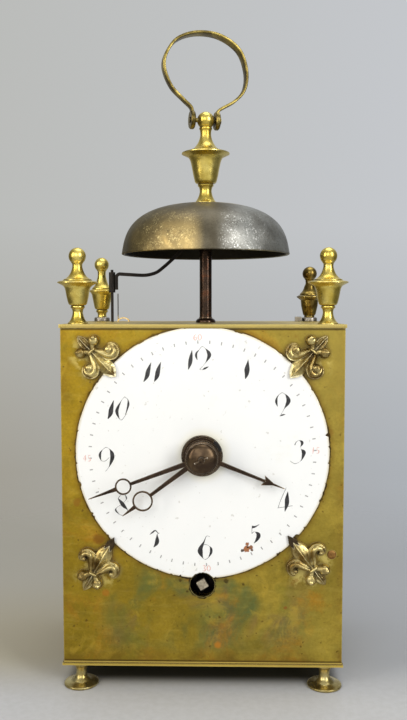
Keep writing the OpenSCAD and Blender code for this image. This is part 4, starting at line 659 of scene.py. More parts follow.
def front_vase(f, h):
    """A front finial's profile up to its neck: f is its flange's radius, and h the height with the ball."""
    return [(4.6, 0), (4.6, 0.7), (3.9, 1.3), (3.1, 2.6), (2.6, 4), (2.36, 5.5), (2.5, 6.6), (2.8, 7.2),
        (3.2, 7.5), (3.3, 7.9), (3.2, 8.3), (2.9, 8.6), (3.7, 8.8), (4.2, 9.4), (4.5, 10.3), (4.85, 11.7),
        (5.2, 13.4), (5.5, 15.2), (5.9, 16.6), (6.6, 17.6), (f - 0.9, 18.5), (f, 19), (f, 19.3),
        (f - 0.8, 19.7), (6.6, 20), (6.4, 20.5), (5.3, 21), (4.1, 22.1), (3.2, 23.5), (2.6, 25),
        (2.3, 26.4), (2.35, h - 7.5), (2.6, h - 7.1), (2.85, h - 6.7), (2.85, h - 6.3), (2.6, h - 6.1)]


def back_vase(f, h, c, k, u):
    """The same for a back finial: c is its cup's foot, k the cup's share in width, u the flange's rise."""
    return [(2.6, 0), (2.3, 1.2), (2.6, 2.5), (3.1, 2.9), (3.3, 3.4), (3.1, 3.9), (2.8, 4.3), (2.8, c - 0.2),
            (3.7 * k, c), (4.1 * k, 0.9 * c + 1.3), (4.5 * k, 0.7 * c + 4), (4.9 * k, 0.4 * c + 7.4),
            (5.3 * k, 0.2 * c + 10.3), (5.6 * k, 12.6 + u), (f - 0.6, 13.8 + u), (f, 14.3 + u), (f, 14.7 + u),
            (f - 0.8, 15.1 + u), (5.4, 15.5 + u), (5.2, 16.2 + u), (4.2, 17.2 + u), (3.4, 18.6 + u),
            (2.8, 20.4 + u), (2.3, 22.4 + u / 2), (2.2, 24), (2.3, h - 7.5), (2.6, h - 7.1), (2.8, h - 6.7),
            (2.8, h - 6.3), (2.6, h - 6.1)]


FINIAL_H, SMALL_BALL, SMALL_NECK = 35.1, 3.95, 2.9
FRONT_FLANGE, BACK_FLANGE = 9.2, 7
COLLAR_H, SHORT_STEM = 2.2, 5
profile = finial_profile(front_vase(FRONT_FLANGE, FINIAL_H), FINIAL_H, SMALL_BALL, SMALL_NECK)
for side, sx in SIDES:
    turned(f"finial_front_{side}_turned", profile, upright(sx * CORNER[0], FRONT_Y + CORNER[1], TOP_Z),
           [f"finial_front_{side}"])
back_h = FINIAL_H - COLLAR_H
for side, sx, cut, cup, share, up, metal in (
        ("left", -1, 0, 4.5, 1, 0, FINISH["ornament_brass"]),
        ("right", 1, SHORT_STEM, SHORT_STEM + 1.2, 0.86, 1.8, TARNISHED)):
    vase = back_vase(BACK_FLANGE, back_h, cup, share, up)
    profile = finial_profile(vase, back_h, SMALL_BALL, SMALL_NECK)
    profile = [(r, h) for r, h in profile if h >= cut]
    turned(f"finial_back_{side}_turned", [(profile[0][0], cut), *profile],
           upright(sx * CORNER[0], FRONT_Y + CASE_D - CORNER[1], TOP_Z + COLLAR_H - cut),
           [f"finial_back_{side}"], material=metal)

FOOT_R, FOOT_H = 8.1, 10.8
foot = turned_profile([(FOOT_R - 0.4, 0), (FOOT_R, 0.25), (FOOT_R, 0.9), (FOOT_R - 0.5, 1.25),
    (FOOT_R - 3.2, 1.9), (4, 2.7), (3.1, 3.6), (2.6, 4.6), (2.4, 5.6), (2.45, 6.8), (2.7, 7.9), (3.1, 8.8),
    (3.5, FOOT_H - 1.5), (3.7, FOOT_H - 1), (3.7, FOOT_H)])
feet = [lathe(foot, upright(sx * CORNER[0], FRONT_Y + y))
        for _, sx in SIDES for y in (CORNER[1], CASE_D - CORNER[1])]
piece("feet_turned", joined(feet), ["feet"], FOOT, sharp=TURNED_SHARP)

bell_vase = [(5.5, 0), (5.5, 0.8), (4.9, 1.3), (4.1, 2.6), (3.4, 4.2), (3, 6), (3.1, 7.4), (3.4, 8.4),
    (3.9, 8.8), (4, 9.3), (3.8, 9.7), (3.5, 9.9), (4.8, 10.2), (5.4, 10.9), (5.8, 12.4), (6.3, 14.6),
    (6.7, 16.8), (7.2, 19.2), (7.8, 21.6), (8.8, 23.2), (10.9, 24.2), (12, 24.7), (12, 25.1), (11, 25.5),
    (8.4, 25.9), (8.2, 26.4), (6.6, 27), (5.2, 28.3), (4, 30), (3.2, 31.8), (2.75, 33.6), (2.7, 35.2),
    (2.9, 36.4), (3.2, 36.9), (3.2, 37.5), (2.9, 37.9)]
BIG_FINIAL_H, BIG_BALL, BIG_NECK = 45.5, 4.3, 3.0
turned("bell_finial_turned", finial_profile(bell_vase, BIG_FINIAL_H, BIG_BALL, BIG_NECK),
       upright(*BELL, BELL_RIM_Z + BELL_H), ["bell_finial"], 128)

KNOB_H = 5
KNOB_Z = (FLOOR_Z + CEIL_Z) / 2
KNOB_Y = FRONT_Y + CASE_D - 15.6         # near a side door's rear edge
REAR_KNOB_X = 45.3
knob = turned_profile([(0.9, -1.2), (0.9, 0), (2.6, 0), (2.6, 0.5), (1.6, 0.9), (1.1, 1.6), (1.2, 2.3),
    (1.9, 2.7), (2.3, 3.3), (2.3, 4), (1.8, 4.7), (0.9, KNOB_H), (0.02, KNOB_H)])
knob = [(r, min(h, KNOB_H)) for r, h in knob]
for side, sx in SIDES:
    turned(f"{side}_door_knob_turned", knob,
           lambda a, b, h, sx=sx: (sx * (HALF_W + h), KNOB_Y + a, KNOB_Z + b),
           [f"{side}_door_knob"], 48, body=f"{side}_door")
turned("rear_door_knob_turned", knob, lambda a, b, h: (REAR_KNOB_X + a, FRONT_Y + CASE_D + h, KNOB_Z + b),
       ["rear_door_knob"], 48, body="rear_door")


# Bell and its post
BELL_CURVE = 2.55          # 2 would be an ellipse; more is squarer
FLARE, FLARE_H = 0.9, 12   # how far the rim goes out, and from what height down
CROWN_R, BELL_BORE = 3, 1.9
STEPS, BELL_SEGMENTS = 40, 160
INNER_H = BELL_H - BELL_WALL
LIP = 0.45                 # the rim's rounding


def bell_radius(h):
    x = min(max(h / BELL_H, 0), 1)
    curve = (1 - x ** BELL_CURVE) ** (1 / BELL_CURVE)
    return (BELL_R - FLARE) * curve + FLARE * max(0, 1 - h / FLARE_H) ** 2


heights = [BELL_H * math.sin(math.pi / 2 * i / STEPS) ** 1.05 for i in range(STEPS)]
outer = [(bell_radius(h), h) for h in heights] + [(CROWN_R, BELL_H), (BELL_BORE, BELL_H)]
inner = [(BELL_BORE, INNER_H), (CROWN_R, INNER_H)]
inner += [(bell_radius(h) * (BELL_R - BELL_WALL) / BELL_R, h * INNER_H / BELL_H) for h in reversed(heights)]
r_in, r_out = inner[-1][0], outer[0][0]
inner[-1] = (r_in, LIP)
outer[0] = (r_out, LIP)
lip = [((r_in + r_out) / 2 + (r_out - r_in) / 2 * math.cos(a), LIP + LIP * math.sin(a))
       for a in (math.pi * (1 + k / 6) for k in range(1, 6))]
inside = range(len(outer) - 1, len(outer) + len(inner) - 1)
profile = outer + inner + lip
turned("bell_cast", profile, upright(*BELL, BELL_RIM_Z), ["bell"], BELL_SEGMENTS, True, 50,
       slot="bell_metal", second=BELL_INSIDE_SHADE,
       marks=[int(i in inside) for i in range(len(profile)) for _ in range(BELL_SEGMENTS)])

POST_GAP = 0.09
POST_H = INNER_H + BELL_RIM_Z - TOP_Z - POST_GAP
post = turned_profile([(2.5, CEIL_Z - TOP_Z - 2.4), (2.5, 0), (5, 0), (5, 0.7), (4.75, 1.3), (4.1, 1.9),
    (3.5, 2.2), (3.25, 2.8), (3.1, 3.6), (3.1, POST_H - 2.4), (3.3, POST_H - 1.9), (4.3, POST_H - 1.4),
    (4.3, POST_H), (1.8, POST_H), (1.8, POST_H + 8)], 40)
turned("bell_post_turned", post, upright(*BELL, TOP_Z), ["bell_post"], 64, slot="iron", material=POST)


# Handle
HANDLE_TURN = math.radians(15)
LOOP_R, LOOP_H, STRIP_T, STRIP_W, STRIP_END = 21.6, 42.4, 1.4, 6, 3.4
EAR_R, EAR_T = 4.5, 2.2
PIN_BALL, EAR_GAP, LEFT_EXTRA = 4.3, 0.3, 1.3
EAR_RIGHT = PIN_BALL + EAR_GAP + EAR_T / 2
EAR_LEFT = -EAR_RIGHT - LEFT_EXTRA
# The loop's points, as shares of its radius and height
LOOP = [(-0.533, 0.225), (-0.817, 0.367), (-0.981, 0.57), (-0.931, 0.735), (-0.683, 0.905), (-0.22, 0.993),
        (0.324, 0.975), (0.778, 0.832), (0.958, 0.6), (0.924, 0.386), (0.692, 0.242)]


def at_pin(x, y, z):
    """A point given from the middle of the handle's pin, with x along the pin."""
    c, s = math.cos(HANDLE_TURN), math.sin(HANDLE_TURN)
    return (BELL[0] + x * c - y * s, BELL[1] + x * s + y * c, PIVOT_Z + z)


def half_width(z):
    """Half the strip's width at a height over the pin."""
    widths = [(0, STRIP_END / 2), (0.28 * LOOP_H, STRIP_END / 2 + 0.3), (0.62 * LOOP_H, STRIP_W / 2 - 0.3),
              (LOOP_H + STRIP_T, STRIP_W / 2)]
    for (z0, w0), (z1, w1) in zip(widths, widths[1:]):
        if z <= z1:
            return w0 + (w1 - w0) * max(z - z0, 0) / (z1 - z0)
    return STRIP_W / 2


def strip_section(t, w, corner=0.42, steps=4):
    """Rounded rectangle, t to each side through the strip and w along its width."""
    return [(x * (t - corner) + corner * math.cos(a), y * (w - corner) + corner * math.sin(a))
            for x, y, start in ((1, 1, 0), (-1, 1, 90), (-1, -1, 180), (1, -1, 270))
            for a in (math.radians(start + 90 * k / steps) for k in range(steps + 1))]


loop = spline([(EAR_LEFT, 2), (EAR_LEFT - 0.5, 5.8), *((x * LOOP_R, z * LOOP_H) for x, z in LOOP),
    (EAR_RIGHT + 1, 5.2), (EAR_RIGHT, 2)], 10)
parts = [tube([[at_pin(x + nx * t, w, z + nz * t) for t, w in strip_section(STRIP_T / 2, half_width(z))]
               for x, z, nx, nz in sideways(loop)])]
ear = turned_profile([(1.2, -EAR_T / 2), (EAR_R - 0.4, -EAR_T / 2), (EAR_R, -EAR_T / 2 + 0.45),
                      (EAR_R, EAR_T / 2 - 0.45), (EAR_R - 0.4, EAR_T / 2), (1.2, EAR_T / 2)], 30)
for x in (EAR_LEFT, EAR_RIGHT):
    parts.append(lathe(ear, lambda a, b, h, x=x: at_pin(x + h, a, b), 64, closed=True))
piece("handle_loop", joined(parts), ["handle"], HANDLE, "handle", sharp=40)
dress("handle_pin", 0.2, HANDLE)

# Plates, doors, hands and hammer: the CAD shapes with rounded edges
for node, width in (
        ("front_plate", 0.12), ("top_plate", 0.28), ("base_plate", 0.25), ("corner_posts", 0.25),
        ("left_door", 0.2), ("right_door", 0.2), ("rear_door", 0.2), ("top_lug", 0.25),
        ("finial_collars", 0.2), ("bell_post_nut", 0.25), ("hammer_arbor", 0.15), ("minute_hand", 0.14),
        ("hour_hand", 0.14), ("alarm_hand", 0.14), ("winding_arbor", 0.25)):
    dress(node, width)
dress("hammer_head", 0.5, sharp=30)

COLLET_R, COLLET_BACK = 7.75, 12.5
collet = [(COLLET_R + r, h) for r, h in (
    (-0.3, 0), (0, 0.3), (0, 1.0), (-0.25, 1.25), (-0.75, 1.35), (-0.85, 1.15), (-1.1, 1.2), (-1.25, 1.8))]
collet += [(COLLET_R * r, h) for r, h in ((0.72, 2.7), (0.5, 3.4), (0.3, 3.9))]
collet = turned_profile([(1.25, 0), *collet, (2, 4), (1.25, 4)])
turned("hand_collet_turned", collet, forward(0, CENTRE_Z, FRONT_Y - COLLET_BACK), ["hand_collet"],
       closed=True, body="centre_arbor", slot="blued_steel", material=DULL_STEEL)

DISC_R, DISC_BACK, DISC_T = 9.4, 5.2, 1.2
PIPE_R, PIPE_BORE, PIPE_END = 3.6, 2.85, 2.7
disc = [(DISC_R, 0.25), (DISC_R, 0.8), *((DISC_R - r, DISC_T - h) for r, h in (
    (0.3, 0.1), (0.6, 0.1), (0.8, 0.35), (1.0, 0.35), (1.2, 0)))]
disc = turned_profile([(PIPE_BORE, -DISC_BACK - PIPE_END), (PIPE_R, -DISC_BACK - PIPE_END), (PIPE_R, -0.1),
                       (PIPE_R + 0.2, 0), (DISC_R - 0.3, 0), *disc, (PIPE_BORE, DISC_T)])
turned("alarm_disc_turned", disc, forward(0, CENTRE_Z, FRONT_Y - DISC_BACK), ["alarm_disc"], closed=True,
       body="alarm_hand", slot="blued_steel", material=DULL_STEEL)

# A thin near-black body, painted shade that stands for the shadowed slot in the alarm disc, up on the right
SLOT_AT, SLOT_R, SLOT_LEN, SLOT_W, SLOT_T = 33, 8.55, 5.4, 1.3, 0.96
rings = []
for k in range(9):
    a = math.radians(SLOT_AT) + (k / 8 - 0.5) * SLOT_LEN / SLOT_R
    half = SLOT_W / 2 * (0.7 if k in (0, 8) else 1)
    rings.append([(r * math.cos(a), FRONT_Y - DISC_BACK - DISC_T - h, CENTRE_Z + r * math.sin(a))
                  for r, h in ((SLOT_R - half, -0.2), (SLOT_R + half, -0.2), (SLOT_R + half, SLOT_T),
                               (SLOT_R - half, SLOT_T))])
piece("alarm_disc_slot", tube(rings), (), SLOT_SHADE, "alarm_hand", "blued_steel")


# Dial
DIAL_TOP = CEIL_Z - 0.2 - CENTRE_Z       # the dial is cut straight at this height over its middle
NOTCH_R = 6.1              # the cut in its edge round the winding hole
BORE = 3.75
SPOKES = 720
EDGE_W, EDGE_T = 0.6, 0.5                # the rounding of its edge
BEHIND = 9                 # deeper than the dial stands out: such a ring lies on the front plate
RIM_W, ENAMEL_T = 2.5, 1.1
CHIP_FROM, CHIP_DEPTH, CHIP_DEPTH_TOP = 0.30, 2.4, 0.8
PAINT_LIFT, PAINT_DEPTH = 0.05, 0.1      # how far paint stands out of the dial's face and goes into it
TURN = [2 * math.pi * k / SPOKES for k in range(SPOKES)]


def dial_front(r):
    """How far the dial's face stands out from the front plate."""
    return DIAL_EDGE + DIAL_DOME * (1 - (r / DIAL_R) ** 2)


def dial_reach(angle):
    """Radius of the dial's edge in a direction: cut straight at the top, notched below, slightly chipped."""
    dx, dz = math.cos(angle), math.sin(angle)

    def rough(x_scale, z_scale, level):
        return noise.noise(Vector((dx * x_scale, dz * z_scale, level)))

    r = DIAL_R - 0.15 - 0.15 * rough(9, 9, 0.3)
    chips = max(0.0, rough(22, 22, 5.3) + 0.5 * rough(60, 60, 1.7) - CHIP_FROM)
    r -= chips * (CHIP_DEPTH if dz < 0.2 else CHIP_DEPTH_TOP)
    if dz > 0.5:
        r = min(r, DIAL_TOP / dz)
    drop = CENTRE_Z - WIND_Z
    off = drop * dx
    if dz < 0 and abs(off) < NOTCH_R:
        near = -drop * dz - math.sqrt(NOTCH_R ** 2 - off ** 2)
        r = min(r, near - max(0.35 * rough(60, 9, 2.1) + 0.15, 0.0))
    return r


reach = [dial_reach(a) for a in TURN]


def dial_ring(inset, depth, share=1.0):
    """A ring of the dial's skin, a share of the way from the bore to the inset edge, depth under its face."""
    ring = []
    for a, edge in zip(TURN, reach):
        r = BORE + (edge - inset - BORE) * share
        ring.append((r * math.cos(a), FRONT_Y - max(dial_front(r) - depth, 0.0), CENTRE_Z + r * math.sin(a)))
    return ring


rings = [dial_ring(EDGE_W, 0, share) for share in (0, 0.1, 0.2, 0.3, 0.4, 0.5, 0.6, 0.7, 0.8, 0.88, 0.95, 1)]
rings += [dial_ring(EDGE_W * (1 - math.sin(a)), EDGE_T * (1 - math.cos(a)))
          for a in map(math.radians, (22, 45, 68, 90))]
white = len(rings) - 2     # the faces from this ring on have the rim's colour
rings += [dial_ring(0, BEHIND), dial_ring(RIM_W, BEHIND)]
rings += [dial_ring(RIM_W, ENAMEL_T, share) for share in (1, 0.6, 0.3, 0)]
piece("dial_enamelled", tube(rings, (), True), ["dial"], slot="enamel", sharp=60, second=RIM,
      marks=[int(i >= white) for i in range(len(rings)) for _ in range(SPOKES)])


def stroke(points, steps=6, lift=PAINT_LIFT):
    """A painted stroke: (x, z, width) along its middle, as a thin solid on the dial."""
    def on_dial(x, z, h):
        return (x, FRONT_Y - dial_front(math.hypot(x, z)) - h, CENTRE_Z + z)

    run = spline(points, steps if len(points) > 2 else steps * 2)
    corners = ((1, lift), (-1, lift), (-1, -PAINT_DEPTH), (1, -PAINT_DEPTH))
    return tube([[on_dial(x + nx * w * s / 2, z + nz * w * s / 2, h) for s, h in corners]
                 for x, z, w, nx, nz in sideways(run)])


def around(degrees, r):
    """The place on the dial at an angle clockwise from its 12, for printing."""
    a = math.radians(90 - degrees - DIAL_TURN)
    return r * math.cos(a), r * math.sin(a)


def printed(name, ink, strokes):
    piece(name, joined(strokes), (), ink, slot="enamel", sharp=60)


# The numerals' strokes, in millimetres about each numeral's middle: (x, z, width) along each stroke
HAIR = 0.14
STROKES = {
    1: [[(.26, 4.6, .1), (.23, 3.8, .4), (-.2, .3, 1.9), (-.4, -2, 1.45), (-1, -4.1, .3)]],
    2: [[(-1.07, 3.2, .1), (-1.95, 1.9, .45), (-2.35, .25, .9), (-2.15, -1.05, .6), (-1.8, -2.25, .1)],
        [(-1.07, 3.2, .1), (.3, 4.0, HAIR), (1.6, 3.35, .15), (2.65, 2.05, 1), (3.2, .4, 1.6),
         (2.6, -1.2, 1.2), (1.2, -3.4, .15), (-.5, -6.5, HAIR)],
        [(-.8, -6.6, .1), (.5, -6.1, .55), (1.8, -5.8, .1)]],
    3: [[(.05, 5.05, .1), (1.15, 4.3, .95), (1.25, 3.35, .9), (.6, 2.15, .1)],
        [(.6, 2.15, .1), (.9, 1.05, .1), (1.9, -.2, 1.45), (2, -1.35, 1.35), (.8, -4.3, .15),
         (-1.95, -5.65, HAIR), (-4.2, -4.3, .1)], [(.05, 5.05, .1), (-1.3, 4.4, HAIR), (-2.1, 2.9, .3)]],
    4: [[(.2, 3.65, .1), (-.15, .25, 1.5), (-.25, -2.3, 1.5), (-1.1, -5.6, .2)],
        [(-.6, 5.4, HAIR), (-3.2, -.7, HAIR), (-4.2, -4, HAIR)], [(-4.5, -3.95, HAIR), (2.4, -3, HAIR)]],
    5: [[(-1.45, 3.25, 1.1), (0, 3.4, .6), (1.95, 4.5, .1)], [(-1.45, 2.9, HAIR), (-1.45, .15, HAIR)],
        [(-1.45, .15, HAIR), (-.7, .9, HAIR), (.05, .9, .15), (1.35, 0, 1.35), (1.55, -1.3, 1.55),
         (.65, -3.1, .9), (-.5, -4.5, .1)]],
    6: [[(2.6, 6.0, .1), (1.1, 6.3, .12), (-.15, 3.4, .55), (-1.6, .5, 1.6), (-1.7, -1.45, 1.85),
         (-.55, -4.2, .2), (.7, -4.9, HAIR), (2, -3.9, .15)],
        [(-.9, 1.6, .1), (.6, 2.3, HAIR), (2.4, 1.5, .1), (3.2, .15, .9), (3.1, -1.8, .9), (2, -3.9, .15)]],
    7: [[(-6.2, 1.95, .1), (-4.85, 3.1, .55), (-3.55, 3.95, .4), (-2.2, 2.6, HAIR), (-1.9, 2.9, .1)],
        [(-1.9, 2.9, .1), (-2.75, 2.1, .2), (-2.8, -.8, 1.5), (-3.25, -2.4, 1.3), (-4.5, -4.05, .15)]],
    8: [[(-3.25, 3.25, .2), (-1.6, 1.15, 1.35), (-.5, -.3, 1.3), (1, -1.95, .2), (.7, -3.6, HAIR),
         (-1, -4.7, HAIR), (-2.75, -4.2, .1)],
        [(-2.75, -4.2, .1), (-4.4, -2.4, .6), (-3.9, -1, .1), (-1.6, .6, HAIR), (.3, 2.6, .1),
         (.6, 3.7, .5), (-.15, 5, .1), (-1.9, 5.0, HAIR), (-3.25, 3.25, .2)]],
    9: [[(-1.7, 3.7, .1), (-2.6, 2.35, .7), (-2.85, .9, .9), (-2.25, -1.2, .15), (-.4, -1.4, HAIR),
         (1.4, .2, .1)],
        [(-1.7, 3.7, .1), (0, 4.9, HAIR), (1.6, 4.1, .15), (2.65, 2.35, 1.35), (2.9, .4, 1.55),
         (2.25, -1.9, 1), (1.25, -4.2, .15), (-.3, -6.25, HAIR)]],
    10: [[(-2.2, 3.65, .1), (-3.3, -.25, 1.6), (-3.75, -2.55, 1.6), (-4.9, -4.95, .25)],
         [(2.8, 5.2, HAIR), (1.25, 3.3, .15), (-.5, -.25, 1.1), (-.65, -2.2, 1.1), (.5, -4.95, .15),
          (1.6, -5.2, HAIR), (3.1, -3.3, .1)],
         [(2.8, 5.2, HAIR), (4.2, 4.1, .15), (4.55, 2, .8), (4.05, -.25, .55), (3.1, -3.3, .1)]],
    11: [[(-.55, 3.95, .1), (-1.8, .4, 1.5), (-2.45, -2.2, 1.5), (-3.9, -4.8, .25)],
         [(3.9, 4.2, .1), (2.75, .7, 1.5), (2.1, -2.2, 1.6), (.95, -4.65, .25)]],
    12: [[(-3.3, 3.3, .1), (-3.8, .05, 1.3), (-4.2, -2.55, 1.45), (-4.95, -5.4, .25)],
         [(-.1, 3.4, .1), (-1.25, 2, .65), (-1.45, .55, .8), (-.9, -1.25, .1)],
         [(-.1, 3.4, .1), (1.3, 4.9, HAIR), (2.75, 3.95, .15), (4.15, 2.15, 1.25), (4.4, .55, 1.35),
          (2.75, -2.5, .15), (.2, -5.4, HAIR)],
         [(.2, -5.4, HAIR), (1.25, -5.6, .1), (2.6, -4.95, .7), (4.2, -4.15, .1)]],
}
DIAL_TURN = -2.2           # the dial's printing stands a little to the left of upright
NUMERAL_R = 44.0
NUDGE = {2: (-1.3, 1), 3: (.2, 0), 5: (.8, .6), 6: (-.8, 0), 7: (2.6, -.3), 8: (1.9, -.3), 10: (.8, .7),
         11: (.8, .9), 12: (.4, .5)}
BOLD = 1.2
parts = []
for hour, lines in STROKES.items():
    cx, cz = (p + d for p, d in zip(around(30 * hour, NUMERAL_R), NUDGE.get(hour, (0, 0))))
    parts += [stroke([(cx + x, cz + z, w * BOLD) for x, z, w in line]) for line in lines]
printed("dial_numerals", INK, parts)

DASH_FROM, DASH_TO, DASH_W = 50.65, 52.15, 0.5
dashes = [stroke([(*around(6 * minute, r), DASH_W) for r in (DASH_FROM, DASH_TO)], 2, 0.03)
          for minute in range(60)]
printed("dial_minute_marks", FADED, dashes)

# The quarters' numbers, small and faint: each digit is a few strokes in a box 1.5 wide and 2.9 high
DIGITS = {
    "0": [[(.75, 2.9, .15), (.1, 2, .5), (.1, .9, .5), (.75, 0, .15)],
          [(.75, 2.9, .15), (1.4, 2, .4), (1.4, .9, .4), (.75, 0, .15)]],
    "1": [[(.9, 2.9, .2), (.7, 1.5, .5), (.55, 0, .2)]],
    "3": [[(.1, 2.5, .15), (.9, 2.9, .3), (1.2, 2.2, .4), (.6, 1.6, .15)],
          [(.6, 1.6, .15), (1.3, 1, .5), (.9, .1, .3), (0, .3, .15)]],
    "4": [[(1.1, 2.9, .2), (1, 1.5, .45), (.9, 0, .2)], [(1.1, 2.9, .15), (0, 1, .2)],
          [(0, 1, .15), (1.6, 1.1, .2)]],
    "5": [[(1.4, 2.9, .15), (.4, 2.8, .3)], [(.4, 2.8, .15), (.3, 1.6, .2)],
          [(.3, 1.6, .15), (1.2, 1.3, .45), (1, .2, .35), (.1, .2, .15)]],
    "6": [[(1.3, 2.9, .15), (.3, 1.9, .45), (.2, .8, .5), (.75, 0, .2)],
          [(.3, 1.3, .15), (1.2, 1.4, .3), (1.3, .6, .35), (.75, 0, .2)]],
}
DIGIT_STEP = 2.1
TEXT_MIDDLE = (1.9, 1.45)
parts = []
for text, hour, r in (("60", 0, 53.6), ("15", 3, 51.8), ("30", 6, 53.2), ("45", 9, 52.8)):
    cx, cz = (p - m for p, m in zip(around(30 * hour, r), TEXT_MIDDLE))
    parts += [stroke([(cx + x + DIGIT_STEP * k, cz + z, w) for x, z, w in line], 4, 0.04)
              for k, digit in enumerate(text) for line in DIGITS[digit]]
printed("dial_quarter_numbers", RED, parts)

RIVET_R = 2.1
rivet = turned_profile([(RIVET_R, -0.5), (RIVET_R, 0.12), (RIVET_R * 0.9, 0.4), (RIVET_R * 0.6, 0.62),
    (0.02, 0.72)])
turned("front_rivet", rivet, forward(59.8, 64.2), segments=40, material=COPPER)


# Corner lilies. A section goes across a band: (share of its half width, share of its height)
def both_halves(half):
    """A section from its left half, whose last point is in the middle."""
    return [*half, *((-x, h) for x, h in reversed(half[:-1]))]


PETAL = both_halves([(-1, 0), (-1, .26), (-.93, .42), (-.62, .58), (-.32, .78), (-.07, .98), (0, 1.02)])
LANCE = both_halves([(-1, 0), (-1, .40), (-.90, .62), (-.74, .60), (-.48, .50), (-.24, .64), (-.10, .90),
    (0, 1)])
BELLY = both_halves([(-1, 0), (-.96, .42), (-.8, .74), (-.5, .95), (0, 1)])
LEAF = [(-1, 0), (-1, .46), (-.92, .66), (-.80, .66), (-.70, .60), (-.52, .80), (-.24, .96), (.05, 1),
    (.34, .92), (.62, .70), (.82, .52), (.95, .32), (1, 0)]
LEAF_LEFT = [(-x, h) for x, h in reversed(LEAF)]
SINK = -0.25

# A lily lies along its middle, from its waist. A band goes through (along, to the side, half width, height)
MIDDLE = [(-.3, 0, 1.0, 2.6), (2.2, 0, 1.5, 3.4), (5, 0, 2.4, 4.1), (8.0, 0, 3.15, 4.5), (10.6, 0, 3.1, 4.2),
          (12.8, 0, 2.4, 3.6), (14.6, 0, 1.4, 2.8), (15.9, 0, .12, 1.9)]
BETWEEN = [(1.0, .9, .5, 2.2), (3.2, 1.7, .65, 2.7), (5.8, 2.9, .75, 2.9), (9.0, 4.4, .35, 2.4)]
CURL = [(.2, .5, 1.0, 2.5), (-1.1, 1.6, 1.35, 2.9), (-2.2, 2.9, 1.5, 3.0)]
POINT = [(.2, 0, 1.1, 2.5), (-2.2, 0, 1.6, 3.0), (-4.6, 0, 2.2, 3.2), (-6.6, 0, 2.1, 2.9),
    (-8.4, 0, 1.1, 2.4), (-9.7, 0, .12, 1.6)]
TIE = [(-.1, -2.6, .6, 2.2), (0, -1.9, .85, 3.7), (0, 0, .95, 4.2), (0, 1.9, .85, 3.7), (-.1, 2.6, .6, 2.2)]
# The upper lilies curl round large bosses, and the lower ones end in open hooks. Each kind has its leaf, its
# bosses at the leaf and at the curl's end, as (along, to the side, radius, height), and how much wider its
# middle petal and its leaf are
UPPER = ([(-.2, .6, .9, 2.4), (1.8, 2.0, 1.35, 3.1), (4.2, 3.0, 1.65, 3.6), (6.5, 4.1, 1.9, 4.0),
    (7.8, 5.9, 2.0, 4.1), (7.3, 7.7, 1.9, 4.0), (5.6, 8.5, 1.7, 3.6), (4.0, 8.1, 1.35, 3.1),
    (3.1, 7.0, .9, 2.7)], (4.8, 6.2, 2.2, 3.9), (-2.9, 4.2, 2.6, 3.9), 1.12, 1.14)
LOWER = ([(-.2, .6, .8, 2.4), (1.4, 1.9, 1.2, 3.0), (3.2, 3.0, 1.5, 3.5), (5.2, 4.0, 1.75, 3.9),
    (6.9, 5.4, 1.9, 4.0), (6.9, 7.4, 1.85, 3.9), (5.4, 8.6, 1.6, 3.6), (3.8, 8.7, 1.2, 3.1),
    (2.8, 8.0, .75, 2.6)], (3.8, 7.2, 1.2, 2.9), (-3.5, 3.9, 2.6, 3.6), 1.2, 1.2)
TONGUE = [(12.6, 1.5), (15.2, 2.0), (16.3, 1.9), (19.8, 0.1), (16.3, -1.9), (15.2, -2.0), (12.6, -1.5)]
TONGUE_T, TONGUE_GAP = 0.9, 0.08
VOXEL = 0.15
EDGE_NEAR, RISE_W = 1.5, 1.8             # a lily rises from this far outside the dial's edge, over this width
LILY_GAP = 0.1
UNDERSIDE = 0.3            # a vertex nearer to the plate than this is on a lily's underside
LEAST_T = 0.35             # what a lily is thick at least where it lies on the dial
SWELL = 0.35               # how much it swells there, as a share of its rise
UNEVEN, UNEVEN_SCALE = 0.12, 0.7


def relief(path, section, side=1, wider=1.0):
    """A raised band on one side of a lily's middle."""
    run = spline([(u, v * side, w * wider, h) for u, v, w, h in path], 7)
    return tube([[(u + nu * w * s, v + nv * w * s, h * k if k else SINK) for s, k in section]
                 for u, v, w, h, nu, nv in sideways(run)])


def dome(u, v, radius, height):
    """A rounded boss standing on the plate."""
    rings = ((1, 0), (.98, .42), (.86, .72), (.62, .92), (.3, .99), (.01, 1))
    profile = [(radius * r, height * k if k else SINK) for r, k in rings]
    return lathe(profile, lambda a, b, h: (u + a, v + b, h), 28)


def lily_parts(leaf, boss, end, full, broad):
    """The bands and bosses of one lily."""
    parts = [relief(MIDDLE, PETAL, 1, full)]
    u, v, radius, h = end
    for side, section in ((1, LEAF), (-1, LEAF_LEFT)):
        parts += [relief(leaf, section, side, broad), dome(boss[0], boss[1] * side, *boss[2:]),
                  relief(BETWEEN, BELLY, side), relief([*CURL, (u + .4, v - .3, 1.2, 2.7)], BELLY, side),
                  dome(u, v * side, radius, h), dome(u - .9, (v + .7) * side, radius * .55, h + .35)]
    return parts + [relief(POINT, LANCE), relief(TIE, BELLY)]


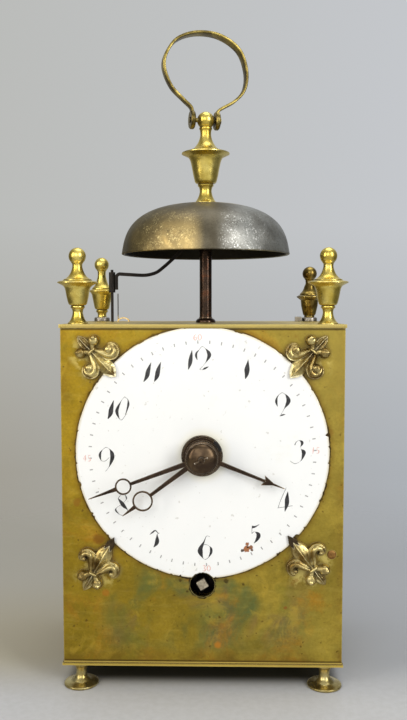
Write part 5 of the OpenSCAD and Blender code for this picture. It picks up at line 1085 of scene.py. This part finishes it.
def lie_on_dial(vertex):
    """Lift a lily's vertex where it is over the dial, and make the lily's skin slightly uneven."""
    x, y, z = vertex.co / MM
    r = math.hypot(x, z - CENTRE_Z)
    if r < DIAL_R + EDGE_NEAR:
        rise = min(1.0, (DIAL_R + EDGE_NEAR - r) / RISE_W) * (dial_front(min(r, DIAL_R)) + LILY_GAP)
        y = min(y, FRONT_Y - rise - LEAST_T) if FRONT_Y - y > UNDERSIDE else FRONT_Y - rise
        y -= SWELL * rise
    if FRONT_Y - y > UNDERSIDE:
        y += noise.noise(Vector((x, y, z)) * UNEVEN_SCALE) * UNEVEN
    vertex.co.y = y * MM


def lily(name, waist, degrees, kind):
    """A cast lily: its bands and bosses melted into one skin. The lower ones have a tongue on the dial."""
    c, s = math.cos(math.radians(degrees)), math.sin(math.radians(degrees))

    def turned_to(u, v):
        return waist[0] + u * c - v * s, waist[1] + u * s + v * c

    verts, faces = joined(lily_parts(*kind))
    verts = [(x, FRONT_Y - h, z) for (x, z), h in ((turned_to(u, v), h) for u, v, h in verts)]
    obj = piece(name + "_cast", (verts, faces), [name], CAST, sharp=180)
    remesh = obj.modifiers.new("cast", "REMESH")
    remesh.mode = "VOXEL"
    remesh.voxel_size = VOXEL * MM
    remesh.use_smooth_shade = True
    soften = obj.modifiers.new("soften", "SMOOTH")
    soften.factor, soften.iterations = 0.6, 4
    final = bpy.data.meshes.new_from_object(obj.evaluated_get(bpy.context.evaluated_depsgraph_get()))
    obj.modifiers.clear()
    obj.data = final
    for vertex in final.vertices:
        lie_on_dial(vertex)
    for polygon in final.polygons:
        polygon.use_smooth = True
    final.materials.clear()
    final.materials.append(CAST)
    if kind is LOWER:
        outline = [turned_to(u, v) for u, v in TONGUE]
        rest = [dial_front(min(math.hypot(x, z - CENTRE_Z), DIAL_R)) + TONGUE_GAP for x, z in outline]
        rings = [[(x, FRONT_Y - y - level, z) for (x, z), y in zip(outline, rest)] for level in (0, TONGUE_T)]
        piece(name + "_tongue", tube(rings), (), CLIP, bevel=0.2)


lily("fleur_top_left", (-50.4, 158.3), -46, UPPER)
lily("fleur_top_right", (50.4, 158.3), -132, UPPER)
lily("fleur_bottom_left", (-50.4, 55.2), 60, LOWER)
lily("fleur_bottom_right", (51.1, 58.0), 127, LOWER)
